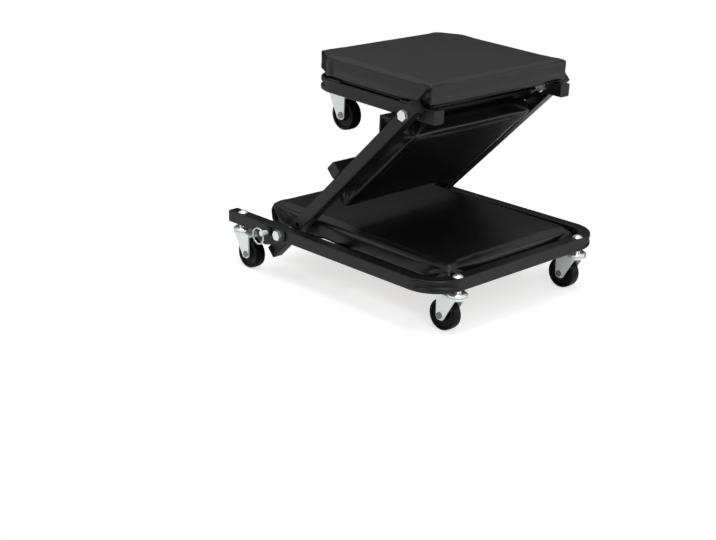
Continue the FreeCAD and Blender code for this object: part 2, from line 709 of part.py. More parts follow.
def fold_stop(sign):
    """Plate under a middle rail's tail that meets the base rail flat and in the stool."""
    deep = HALF + STOP_PLATE
    start = (HALF + RUNNING_GAP + deep * math.cos(INCLINE)) / math.sin(INCLINE)
    run = (start, start + STOP_PLATE_LENGTH)
    rail_side = sorted((sign * (MID_RAIL_Y - HALF), sign * (MID_RAIL_Y + HALF)))
    outer_side = sorted((sign * (MID_RAIL_Y + HALF), sign * BASE_HALF_WIDTH))
    seat = block(run, rail_side, (-deep, -HALF))
    tongue = block(run, outer_side, (-deep, -HALF - RUNNING_GAP))
    return seat.fuse(tongue)


def seat_stop():
    """Angle iron across the backs of both middle rails, whose upper leg carries the head rails level."""
    lean = math.radians(STOP_LEG_ANGLE)
    heel = HALF + RUNNING_GAP
    top = heel / math.sin(lean) + HALF / math.tan(lean)
    span = STOP_ANGLE_LEG / math.cos(lean)
    drop = STOP_ANGLE_LEG * math.sin(lean)
    apex = top + STOP_ANGLE_LEG * math.cos(lean)
    wall_top = STOP_ANGLE_WALL / math.sin(lean)
    wall_low = STOP_ANGLE_WALL / math.cos(lean)
    inner_span = span - wall_top - wall_low
    inner_drop = inner_span * math.sin(lean) * math.cos(lean)
    inner_apex = top + wall_top + inner_drop / math.tan(lean)
    outside = [(top, 0, 0), (top + span, 0, 0), (apex, -drop, 0)]
    inside = [(top + wall_top, 0, 0), (top + span - wall_low, 0, 0), (inner_apex, -inner_drop, 0)]
    half_length = MID_RAIL_Y + HALF
    start = V(-MID_LENGTH, -half_length, -HALF)
    across = Y_AXIS * (2 * half_length)
    iron = slab(outside, in_elevation, start, across).cut(slab(inside, in_elevation, start, across))
    between_rails = (HALF - MID_RAIL_Y, MID_RAIL_Y - HALF)
    relief = block((-MID_LENGTH, 0), between_rails, (-HALF - RUNNING_GAP, 0))
    return iron.cut(relief)


def head_section():
    """Head: bent frame, straps, thick seat pad and two casters."""
    frame = bent_frame(-HEAD_TAIL, HEAD_HALF_WIDTH, HEAD_REACH, HEAD_BEND)
    frame.rotate(V(), Z_AXIS, 180)
    mounts = {
        "head_" + side: (HEAD_BAR_X, sign * HEAD_CASTER_HALF_SPACING, CASTER_TRAIL)
        for side, sign in SIDES.items()
    }
    seats = [(x, y) for x, y, _ in mounts.values()]
    holes = [king_hole(x, y) for x, y in seats]
    holes += [cross_hole(HINGE_RADIUS + HINGE_FIT, 0, 0, HEAD_RAIL_Y, sign) for sign in SIDES.values()]
    pieces = {"head_frame": frame.cut(holes)}
    pieces["head_plugs"] = Part.makeCompound(
        [plug(V(HEAD_TAIL, sign * HEAD_RAIL_Y, 0), X_AXIS) for sign in SIDES.values()]
    )
    half_width = MID_RAIL_Y - HALF - SEAT_SIDE_GAP
    outer_end = -HEAD_REACH - SEAT_OUTER_OVERHANG
    corners = cut_rectangle(
        outer_end, SEAT_OVERHANG, half_width, SEAT_CORNER, SEAT_CUT_LENGTH, SEAT_CUT_WIDTH
    )
    places = [-place for place in HEAD_STRAP_PLACES]
    pieces.update(padded_board("seat", corners, SEAT_LEVEL, SEAT_HEIGHT, places))
    pieces["seat_straps"] = straps(places, HEAD_HALF_WIDTH, SEAT_LEVEL, half_width)
    pieces["head_king_bolts"] = Part.makeCompound([king_bolt(x, y, HEAD_KING_HEAD) for x, y in seats])
    pieces["head_caster_races"] = Part.makeCompound([race(x, y) for x, y in seats])
    pieces.update(casters(mounts))
    return pieces


def pull_pins():
    """Pull pins with their rings, which slide in the base's guides."""
    pieces = {}
    for side, sign in SIDES.items():
        pieces["pull_pin_" + side] = pull_pin(sign)
        pieces["pull_ring_" + side] = pull_ring(sign)
    return pieces


add(base_section(), place_base)
add(pull_pins(), place_base)
add(mid_section(), place_mid)
add(head_section(), place_head)

os.makedirs("parts", exist_ok=True)
for node, solid in nodes.items():
    solid.exportStep("parts/" + node + ".step")
print(len(nodes), "nodes")
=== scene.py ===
"""Looks of a folding workshop stool that opens out into a low creeper.

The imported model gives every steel, plastic and plywood piece. This script adds the three vinyl
cushions, swollen by cloth simulation, their turned-under hems and staples, the weld beads of the
frames and the moulded wheels, and gives each surface its finish. Lengths are in millimetres until
a piece is placed.
"""

import json
import logging
import math
from dataclasses import dataclass
from enum import Enum

import bmesh
import bpy
import numpy as np
from mathutils import Matrix, Vector


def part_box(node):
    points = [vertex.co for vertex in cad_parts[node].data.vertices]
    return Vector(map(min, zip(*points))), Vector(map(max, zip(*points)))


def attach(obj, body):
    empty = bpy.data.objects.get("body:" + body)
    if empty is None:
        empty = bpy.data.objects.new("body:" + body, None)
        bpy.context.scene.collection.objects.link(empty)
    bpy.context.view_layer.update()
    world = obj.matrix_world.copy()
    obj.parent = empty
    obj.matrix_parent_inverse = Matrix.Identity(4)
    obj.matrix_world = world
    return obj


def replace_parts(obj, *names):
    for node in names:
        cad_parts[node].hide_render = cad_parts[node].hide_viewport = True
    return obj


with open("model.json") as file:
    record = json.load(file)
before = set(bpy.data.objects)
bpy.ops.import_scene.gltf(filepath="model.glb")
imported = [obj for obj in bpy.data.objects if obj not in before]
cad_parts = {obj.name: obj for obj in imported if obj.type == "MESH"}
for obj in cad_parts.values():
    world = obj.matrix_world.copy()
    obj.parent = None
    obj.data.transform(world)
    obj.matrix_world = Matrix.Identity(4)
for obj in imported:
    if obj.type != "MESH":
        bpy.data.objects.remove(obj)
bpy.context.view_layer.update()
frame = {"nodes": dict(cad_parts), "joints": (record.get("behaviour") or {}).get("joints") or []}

LOG = logging.getLogger("stool")
MM = 0.001

# Seam distance of a vertex that is near no seam.
NO_SEAM = 99.0
# Points in the arc of a plan corner, and along a side with both its ends.
ARC_POINTS = 13
SIDE_POINTS = 32
# Direction along which no bar runs, and the pitch of a weld's ripples in radii.
OBLIQUE = (0.31, 0.17, 0.94)
RIPPLE_PITCH = 0.9

Points = np.ndarray
Corner = tuple[float, float, float]
Run = tuple[Points, Points]
Piece = bpy.types.Object
Tree = bpy.types.NodeTree
Socket = bpy.types.NodeSocket
Sockets = dict[str, Socket]


def linear(hex_colour: str) -> tuple[float, float, float, float]:
    """Turn an sRGB hex colour into Blender's linear colour.

    Args:
        hex_colour: Six hex digits with a leading hash sign.

    Returns:
        Linear red, green and blue, and an alpha of one.
    """
    value = np.array([int(hex_colour[i : i + 2], 16) for i in (1, 3, 5)]) / 255
    straight = np.where(value <= 0.04045, value / 12.92, ((value + 0.055) / 1.055) ** 2.4)
    return (*straight.tolist(), 1.0)


def add_node(tree: Tree, kind: str, inputs: dict | None = None, **settings: str) -> bpy.types.Node:
    """Add one shader node.

    Args:
        tree: Node tree that takes the node.
        kind: Blender's type name of the node.
        inputs: Value or linked socket for each input, by name or number.
        settings: Properties of the node itself.

    Returns:
        The new node.
    """
    node = tree.nodes.new(kind)
    for key, value in settings.items():
        setattr(node, key, value)
    for key, value in (inputs or {}).items():
        if isinstance(value, Socket):
            tree.links.new(value, node.inputs[key])
        else:
            node.inputs[key].default_value = value
    return node


def empty_tree(owner: bpy.types.Material | bpy.types.World) -> Tree:
    """Clear the nodes of a material or a world.

    Args:
        owner: What the node tree belongs to.

    Returns:
        The empty node tree.
    """
    owner.use_nodes = True
    owner.node_tree.nodes.clear()
    return owner.node_tree


def lay_grids(name: str, grids: list[Points], close_rows: bool = False) -> Piece:
    """Make one object of surface grids whose columns run round and close on themselves.

    Each grid cell becomes one four-sided face. Rows that shrink to a point become closed poles.

    Args:
        name: Name of the object.
        grids: Arrays of rows x columns x 3 coordinates in metres.
        close_rows: Whether the last row joins the first one too.

    Returns:
        The object, at the origin.
    """
    faces, start = [], 0
    for grid in grids:
        rows, columns = grid.shape[:2]
        number = np.arange(rows * columns).reshape(rows, columns) + start
        below = number if close_rows else number[:-1]
        above = np.roll(number, -1, axis=0) if close_rows else number[1:]
        cells = np.stack([below, np.roll(below, -1, 1), np.roll(above, -1, 1), above], axis=-1)
        faces.append(cells.reshape(-1, 4))
        start += rows * columns
    points = np.concatenate([grid.reshape(-1, 3) for grid in grids])
    quads = np.concatenate(faces)
    mesh = bpy.data.meshes.new(name)
    mesh.vertices.add(len(points))
    mesh.vertices.foreach_set("co", points.astype(np.float32).ravel())
    mesh.loops.add(quads.size)
    mesh.loops.foreach_set("vertex_index", quads.astype(np.int32).ravel())
    mesh.polygons.add(len(quads))
    mesh.polygons.foreach_set("loop_start", np.arange(0, quads.size, 4, dtype=np.int32))
    mesh.update(calc_edges=True)
    mend = bmesh.new()
    mend.from_mesh(mesh)
    bmesh.ops.remove_doubles(mend, verts=mend.verts, dist=1e-6)
    bmesh.ops.recalc_face_normals(mend, faces=mend.faces)
    mend.to_mesh(mesh)
    mend.free()
    piece = bpy.data.objects.new(name, mesh)
    bpy.context.scene.collection.objects.link(piece)
    return piece


def read_vectors(items: bpy.types.bpy_prop_collection, key: str) -> Points:
    """Read one vector of each item of a mesh.

    Args:
        items: Vertices or vertex normals of a mesh.
        key: Name of the vector in an item.

    Returns:
        Array of N x 3.
    """
    flat = np.empty(len(items) * 3, np.float32)
    items.foreach_get(key, flat)
    return flat.reshape(-1, 3).astype(float)


def write_points(mesh: bpy.types.Mesh, points: Points) -> None:
    """Move a mesh's vertices to new places."""
    mesh.vertices.foreach_set("co", points.astype(np.float32).ravel())
    mesh.update()


def write_seam(mesh: bpy.types.Mesh, distance: Points) -> None:
    """Keep each vertex's distance from the nearest seam in the mesh, for the vinyl to read."""
    line = mesh.attributes.new("seam", "FLOAT", "POINT")
    line.data.foreach_set("value", distance.astype(np.float32))


def bake(piece: Piece) -> None:
    """Replace a piece's mesh by what its modifiers make of it, and drop the modifiers.

    Args:
        piece: Piece with live modifiers.
    """
    graph = bpy.context.evaluated_depsgraph_get()
    baked = bpy.data.meshes.new_from_object(piece.evaluated_get(graph))
    plain = piece.data
    piece.modifiers.clear()
    piece.data = baked
    bpy.data.meshes.remove(plain)


def smooth(piece: Piece, sharp_angle: float) -> None:
    """Shade a piece smooth, except across edges sharper than an angle in degrees."""
    piece.data.polygons.foreach_set("use_smooth", np.ones(len(piece.data.polygons), bool))
    piece.data.set_sharp_from_angle(angle=math.radians(sharp_angle))


def unit(vectors: Points) -> Points:
    """Vectors scaled to a length of one."""
    return vectors / np.linalg.norm(vectors, axis=-1, keepdims=True)


def plan_outline(corners: list[Corner], count: int, bow: float) -> Points:
    """Closed plan outline with round corners, whose sides are drawn in between them.

    Each corner is an arc about the point at radius / sin(half angle) along its bisector. Each side
    is a straight line moved inwards by bow * 4 t (1 - t). Both are then spaced evenly by length.

    Args:
        corners: Anticlockwise corners as x, y and radius.
        count: Number of points round the outline.
        bow: How far the middle of a side is drawn in.

    Returns:
        Array of count x 2.
    """
    given = np.array(corners)
    plan, radius = given[:, :2], given[:, 2:]
    back = unit(np.roll(plan, 1, axis=0) - plan)
    ahead = unit(np.roll(plan, -1, axis=0) - plan)
    half = np.arccos(np.sum(back * ahead, axis=1, keepdims=True)) / 2
    bisector = unit(back + ahead)
    middle = plan + bisector * radius / np.sin(half)
    turn = np.linspace(-0.5, 0.5, ARC_POINTS) * (math.pi - 2 * half)
    spoke = -bisector * radius
    cos, sin = np.cos(turn), np.sin(turn)
    arc_x = middle[:, :1] + spoke[:, :1] * cos - spoke[:, 1:] * sin
    arc_y = middle[:, 1:] + spoke[:, :1] * sin + spoke[:, 1:] * cos
    arcs = np.stack([arc_x, arc_y], axis=-1)
    leave, arrive = arcs[:, -1], np.roll(arcs[:, 0], -1, axis=0)
    inward = unit(np.stack([leave[:, 1] - arrive[:, 1], arrive[:, 0] - leave[:, 0]], axis=-1))
    t = np.linspace(0, 1, SIDE_POINTS)[1:-1][None, :, None]
    sides = leave[:, None] * (1 - t) + arrive[:, None] * t + inward[:, None] * bow * 4 * t * (1 - t)
    line = np.concatenate([arcs, sides], axis=1).reshape(-1, 2)
    line = np.concatenate([line, line[:1]])
    run = np.concatenate([[0], np.cumsum(np.linalg.norm(np.diff(line, axis=0), axis=1))])
    even = np.linspace(0, run[-1], count, endpoint=False)
    return np.stack([np.interp(even, run, line[:, 0]), np.interp(even, run, line[:, 1])], axis=-1)


def drawn_in(outline: Points, distance: Points) -> Points:
    """Copies of an outline scaled about its middle, so that its sides move in by each distance.

    Args:
        outline: Array of N x 2.
        distance: Distances in from the widest points, as an array of rows or rows x N.

    Returns:
        Array of rows x N x 2.
    """
    low, high = outline.min(axis=0), outline.max(axis=0)
    reach = (high - low) / 2
    middle = (low + high) / 2
    inset = np.asarray(distance, float)
    inset = inset[:, None] if inset.ndim == 1 else inset
    share = 1 - inset[..., None] / reach
    return middle + (outline - middle) * np.clip(share, 0, None)


def lifted(rings: Points, heights: Points) -> Points:
    """Rings of plan points, each at its own height."""
    level = np.broadcast_to(heights[:, None, None], (*rings.shape[:2], 1))
    return np.concatenate([rings, level], axis=-1)


def near(distance: Points, reach: float | Points) -> Points:
    """Closeness, which falls from 1 at no distance to 0 at the reach."""
    return np.clip(1 - distance / reach, 0, 1)


def bar(start: Points, end: Points, radius: float, rows: int, around: int, ripple: float = 0.0) -> Points:
    """Round-ended bar, rippled along its length like a run of weld.

    A circle of radius r (1 - |2 t - 1|^8)^(1/2) (1 + ripple cos(turns t)) is carried from start to end.

    Args:
        start: First end, in millimetres.
        end: Second end, in millimetres.
        radius: Radius of the bar.
        rows: Number of circles along it.
        around: Number of points in a circle.
        ripple: Share of the radius by which it swells and narrows.

    Returns:
        Array of rows x around x 3.
    """
    start, end = np.asarray(start, float), np.asarray(end, float)
    length = np.linalg.norm(end - start)
    axis = (end - start) / length
    side = unit(np.cross(axis, OBLIQUE))
    upright = np.cross(axis, side)
    t = np.linspace(0, 1, rows)
    ripples = 2 * math.pi * max(1, round(length / (radius * RIPPLE_PITCH)))
    swell = radius * np.sqrt(np.clip(1 - np.abs(2 * t - 1) ** 8, 0, 1))
    swell *= 1 + ripple * np.cos(ripples * t)
    turn = np.linspace(0, 2 * math.pi, around, endpoint=False)
    ring = side * np.cos(turn)[:, None] + upright * np.sin(turn)[:, None]
    return start + (end - start) * t[:, None, None] + ring[None] * swell[:, None, None]


@dataclass(frozen=True)
class Section:
    """Where a section that is drawn lying flat stands in the stool."""

    body: str
    hinge: tuple[float, float, float]
    turn: float

    def place(self, points: Points) -> Points:
        """Turn points drawn flat about the section's hinge.

        Args:
            points: Coordinates in millimetres from the hinge, with the foot end at +X and the pad up.

        Returns:
            Coordinates in metres in the frame of the whole object.
        """
        cos, sin = math.cos(math.radians(self.turn)), math.sin(math.radians(self.turn))
        x, y, z = np.moveaxis(np.asarray(points, float), -1, 0)
        return np.stack([x * cos + z * sin, y, z * cos - x * sin], axis=-1) * MM + np.array(self.hinge)


def joint(name: str) -> dict:
    """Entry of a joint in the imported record."""
    return next(entry for entry in frame["joints"] if entry["name"] == name)


FOLD, SEAT_FOLD = joint("fold"), joint("seat_fold")
BASE = Section("base", FOLD["pos_m"], 0.0)
MID = Section("mid", FOLD["pos_m"], FOLD["range_deg"][1])
HEAD = Section("head", SEAT_FOLD["pos_m"], FOLD["range_deg"][1] - SEAT_FOLD["range_deg"][1])


class Slot(Enum):
    """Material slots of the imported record."""

    FRAME_PAINT = "frame_paint"
    PAD_VINYL = "pad_vinyl"
    ZINC_STEEL = "zinc_steel"
    RING_CHROME = "ring_chrome"
    WHEEL_POLYMER = "wheel_polymer"
    PLUG_PLASTIC = "plug_plastic"
    PLYWOOD = "plywood"


@dataclass(frozen=True)
class Finish:
    """A material, with the values that are the same all over its surface.

    Its tone runs from the low to the high colour, and its roughness by the span about its middle,
    both after one pattern.
    """

    name: str
    roughness: float
    metallic: float = 0.0
    ior: float = 1.5
    specular: float = 0.5
    low: str = "#000000"
    high: str = "#FFFFFF"
    rough_span: tuple[float, float] | None = None

    def make(self) -> bpy.types.Material:
        """Build the material.

        Returns:
            The material, with its shader and patterns joined up.
        """
        material = bpy.data.materials.new(self.name)
        tree = empty_tree(material)
        constants = {
            "Roughness": self.roughness,
            "Metallic": self.metallic,
            "IOR": self.ior,
            "Specular IOR Level": self.specular,
        }
        shader = add_node(tree, "ShaderNodeBsdfPrincipled", constants)
        place = add_node(tree, "ShaderNodeTexCoord").outputs["Object"]
        for key, socket in self.lay(tree, place).items():
            tree.links.new(socket, shader.inputs[key])
        add_node(tree, "ShaderNodeOutputMaterial", {"Surface": shader.outputs[0]})
        return material

    def lay(self, tree: Tree, place: Socket) -> Sockets:
        """Lay the patterns of the surface.

        Args:
            tree: Node tree of the material.
            place: Object coordinates in metres.

        Returns:
            Socket for each input of the shader that varies over the surface.
        """
        raise NotImplementedError

    def ground(self, tree: Tree, pattern: Socket) -> Sockets:
        """Let tone and roughness follow a pattern.

        Args:
            tree: Node tree of the material.
            pattern: Pattern from 0 to 1.

        Returns:
            Sockets of the base colour and, if it varies, the roughness.
        """
        shades = {0: pattern, 6: linear(self.low), 7: linear(self.high)}
        sockets = {"Base Color": add_node(tree, "ShaderNodeMix", shades, data_type="RGBA").outputs[2]}
        if self.rough_span:
            less, more = self.rough_span
            span = {"Value": pattern, "To Min": self.roughness - less, "To Max": self.roughness + more}
            sockets["Roughness"] = add_node(tree, "ShaderNodeMapRange", span).outputs[0]
        return sockets


@dataclass(frozen=True)
class Mottled(Finish):
    """Surface with broad clouds of tone and gloss over a fine grain in relief."""

    cloud_mm: float = 10.0
    cloud_detail: float = 5.0
    grain_mm: float = 1.0
    grain_deep_mm: float = 0.05
    grain_share: float = 0.1

    def lay(self, tree: Tree, place: Socket) -> Sockets:
        """Lay the clouds and the grain.

        Args:
            tree: Node tree of the material.
            place: Object coordinates in metres.

        Returns:
            Sockets of base colour, roughness and normal.
        """
        fine = {"Vector": place, "Scale": 1 / (self.grain_mm * MM)}
        grain = add_node(tree, "ShaderNodeTexNoise", fine).outputs[0]
        broad = {"Vector": place, "Scale": 1 / (self.cloud_mm * MM), "Detail": self.cloud_detail}
        cloud = add_node(tree, "ShaderNodeTexNoise", broad).outputs[0]
        rise = {"Height": grain, "Strength": self.grain_share, "Distance": self.grain_deep_mm * MM}
        return self.ground(tree, cloud) | {"Normal": add_node(tree, "ShaderNodeBump", rise).outputs[0]}


@dataclass(frozen=True)
class PowderCoat(Mottled):
    """Black polyester powder coat, sprayed and baked on steel tube.

    The melted powder leaves a soft orange peel, so reflections of the room are broad and slightly
    mottled, and the black is lifted to a dark grey where a face meets the light. The real peel is
    about 0.6 mm; it is drawn at 1.6 mm so that it shows.
    """

    low: str = "#0F0F10"
    high: str = "#151516"
    rough_span: tuple[float, float] | None = (0.06, 0.08)
    cloud_mm: float = 38.0
    cloud_detail: float = 4.0
    grain_mm: float = 1.6
    grain_deep_mm: float = 0.05
    grain_share: float = 0.07


@dataclass(frozen=True)
class ZincPlate(Mottled):
    """Bright zinc plate with a clear blue passivate, barrel-plated on pressed steel.

    The plate is a cool white metal with a slightly cloudy lustre and fine tumbling marks.
    """

    low: str = "#D6E0DC"
    high: str = "#EEF4F1"
    rough_span: tuple[float, float] | None = (0.08, 0.12)
    cloud_mm: float = 7.0
    cloud_detail: float = 5.0
    grain_mm: float = 0.9
    grain_deep_mm: float = 0.03
    grain_share: float = 0.15


@dataclass(frozen=True)
class MouldedPlastic(Mottled):
    """Black polypropylene or polyethylene, injection moulded in a spark-eroded tool.

    The fine matt texture scatters light, so edges and faces differ only slightly, and handling
    leaves faint scuffs.
    """

    low: str = "#030303"
    high: str = "#060606"
    rough_span: tuple[float, float] | None = (0.06, 0.12)
    cloud_mm: float = 9.0
    cloud_detail: float = 6.0
    grain_mm: float = 0.8
    grain_deep_mm: float = 0.04
    grain_share: float = 0.2


@dataclass(frozen=True)
class Vinyl(Finish):
    """Black PVC-coated cloth, calendered with a leather grain and stretched over foam.

    The pebbled grain breaks up the gloss, so flat panels look evenly grey and tight rolled edges
    carry a soft pale line. Seams show as thin dark lines: a groove in relief, and painted shade
    that darkens the colour along the groove. The real pebbles are about 1 mm; they are drawn at
    2.2 mm so that they show. A relief is a strength and a depth in millimetres.
    """

    low: str = "#070707"
    high: str = "#0A0A0A"
    # Painted shade: the colour that the seam line is darkened to, as the shade in its groove.
    seam_shade: str = "#040404"
    rough_span: tuple[float, float] | None = (0.05, 0.07)
    pebble_mm: float = 2.2
    pebble_relief: tuple[float, float] = (0.22, 0.12)
    crease_mm: float = 55.0
    crease_relief: tuple[float, float] = (0.35, 1.6)
    seam_mm: float = 1.5
    seam_relief: tuple[float, float] = (0.9, 0.8)

    def lay(self, tree: Tree, place: Socket) -> Sockets:
        """Lay the leather grain, the slack creases and the seam line, with painted shade along the seam.

        Args:
            tree: Node tree of the material.
            place: Object coordinates in metres.

        Returns:
            Sockets of base colour, roughness and normal.
        """
        grain = {"Vector": place, "Scale": 1 / (self.pebble_mm * MM)}
        pebble = add_node(tree, "ShaderNodeTexVoronoi", grain, feature="SMOOTH_F1").outputs["Distance"]
        slack = {"Vector": place, "Scale": 1 / (self.crease_mm * MM), "Detail": 3.0, "Distortion": 0.6}
        crease = add_node(tree, "ShaderNodeTexNoise", slack).outputs[0]
        seam = add_node(tree, "ShaderNodeAttribute", attribute_name="seam").outputs["Fac"]
        near = add_node(tree, "ShaderNodeMath", {0: seam}, operation="ABSOLUTE").outputs[0]
        edge = {"Value": near, "From Min": 0.25 * self.seam_mm, "From Max": self.seam_mm}
        line = add_node(tree, "ShaderNodeMapRange", edge, interpolation_type="SMOOTHSTEP").outputs[0]
        heights = (crease, self.crease_relief), (pebble, self.pebble_relief), (line, self.seam_relief)
        normal = {}
        for height, (strength, deep) in heights:
            rise = {"Height": height, "Strength": strength, "Distance": deep * MM}
            normal = {"Normal": add_node(tree, "ShaderNodeBump", rise | normal).outputs[0]}
        sockets = self.ground(tree, crease)
        # Painted shade: the colour darkens along the seam line, standing in for the shade in its groove.
        sewn = {0: line, 6: linear(self.seam_shade), 7: sockets["Base Color"]}
        sockets["Base Color"] = add_node(tree, "ShaderNodeMix", sewn, data_type="RGBA").outputs[2]
        return sockets | normal


@dataclass(frozen=True)
class NickelWire(Finish):
    """Bright nickel-plated spring wire, drawn and then plated.

    It mirrors the room, with faint draw lines and a warm grey cast.
    """

    low: str = "#B4B6B6"
    high: str = "#D2D4D4"
    rough_span: tuple[float, float] | None = (0.05, 0.1)
    line_mm: float = 0.7

    def lay(self, tree: Tree, place: Socket) -> Sockets:
        """Lay the draw lines."""
        lines = {"Vector": place, "Scale": 1 / (self.line_mm * MM)}
        return self.ground(tree, add_node(tree, "ShaderNodeTexNoise", lines).outputs[0])


@dataclass(frozen=True)
class Plywood(Finish):
    """Bare poplar plywood, peeled, glued and sanded.

    The peeled face has long wavering figure across the board and pale and darker bands.
    """

    low: str = "#7E5C38"
    high: str = "#A17F54"
    figure_mm: float = 26.0
    stretch: float = 0.12
    fibre_mm: float = 2.4
    fibre_share: float = 0.35
    fibre_relief: tuple[float, float] = (0.25, 0.1)

    def lay(self, tree: Tree, place: Socket) -> Sockets:
        """Lay the peeled figure and the fibres.

        Args:
            tree: Node tree of the material.
            place: Object coordinates in metres.

        Returns:
            Sockets of base colour and normal.
        """
        grain = {"Vector": place, "Scale": (1.0, self.stretch, 1.0)}
        along = add_node(tree, "ShaderNodeMapping", grain).outputs[0]
        bands = {"Vector": along, "Scale": 1 / (self.figure_mm * MM), "Detail": 5.0, "Distortion": 1.4}
        figure = add_node(tree, "ShaderNodeTexNoise", bands).outputs[0]
        threads = {"Vector": along, "Scale": 1 / (self.fibre_mm * MM), "Detail": 3.0}
        fibre = add_node(tree, "ShaderNodeTexNoise", threads).outputs[0]
        blend = add_node(tree, "ShaderNodeMix", {0: self.fibre_share, 2: figure, 3: fibre}).outputs[0]
        strength, deep = self.fibre_relief
        rise = {"Height": fibre, "Strength": strength, "Distance": deep * MM}
        return self.ground(tree, blend) | {"Normal": add_node(tree, "ShaderNodeBump", rise).outputs[0]}


FINISHES: dict[Slot, Finish] = {
    Slot.FRAME_PAINT: PowderCoat("black_powder_coat", roughness=0.30, specular=0.25),
    Slot.PAD_VINYL: Vinyl("black_grained_vinyl", roughness=0.34, specular=0.34),
    Slot.ZINC_STEEL: ZincPlate("bright_zinc_plate", roughness=0.32, metallic=0.5),
    Slot.RING_CHROME: NickelWire("nickel_plated_wire", roughness=0.16, metallic=1.0),
    Slot.WHEEL_POLYMER: MouldedPlastic("moulded_polypropylene", roughness=0.30, specular=0.11),
    Slot.PLUG_PLASTIC: MouldedPlastic("moulded_polyethylene", roughness=0.52, specular=0.4),
    Slot.PLYWOOD: Plywood("sanded_poplar_plywood", roughness=0.72),
}

# Pieces of the zinc slot whose plate differs: turned and headed pieces are brighter than the pressed
# forks, and the peened rivets that the wheels turn on have lost their plate at the ends.
TURNED_ZINC = ZincPlate("polished_zinc_plate", roughness=0.22, metallic=0.85)
PEENED_STEEL = ZincPlate("peened_rivet_steel", roughness=0.4, metallic=0.8, low="#6A6F70", high="#868B8C")


class Palette:
    """The materials, each made once."""

    def __init__(self) -> None:
        """Make every finish's material."""
        finishes = (*FINISHES.values(), TURNED_ZINC, PEENED_STEEL)
        self.materials = {finish.name: finish.make() for finish in finishes}

    def dress(self, piece: Piece, slot: Slot, finish: Finish | None = None) -> None:
        """Give a piece the finish of its slot, or its own finish.

        Args:
            piece: Piece to dress.
            slot: Slot of its finish.
            finish: Its own finish, where that differs from the slot's.
        """
        material = self.materials[(finish or FINISHES[slot]).name]
        piece.data.materials.clear()
        piece.data.materials.append(material)


@dataclass
class SteelAndPlastic:
    """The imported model's own pieces, which keep their shape and get their finish."""

    palette: Palette

    SLOT_WORDS = {
        Slot.PLUG_PLASTIC: ("plugs",),
        Slot.PLYWOOD: ("board",),
        Slot.WHEEL_POLYMER: ("wheel",),
        Slot.RING_CHROME: ("ring_",),
        Slot.ZINC_STEEL: ("fork", "axle", "races", "bolts", "nuts", "washers", "screws", "pull_pin"),
        Slot.PAD_VINYL: ("_pad",),
    }
    OWN_FINISH = {"axle": PEENED_STEEL, "bolts": TURNED_ZINC, "races": TURNED_ZINC, "nuts": TURNED_ZINC}

    def slot_of(self, name: str) -> Slot:
        """Slot of a node by the words in its name; what has none of them is painted frame."""
        slots = (slot for slot, words in self.SLOT_WORDS.items() if any(word in name for word in words))
        return next(slots, Slot.FRAME_PAINT)

    def build(self) -> list[Piece]:
        """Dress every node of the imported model.

        Returns:
            The dressed nodes.
        """
        for name, node in frame["nodes"].items():
            own = next((finish for word, finish in self.OWN_FINISH.items() if word in name), None)
            self.palette.dress(node, self.slot_of(name), own)
        return list(frame["nodes"].values())


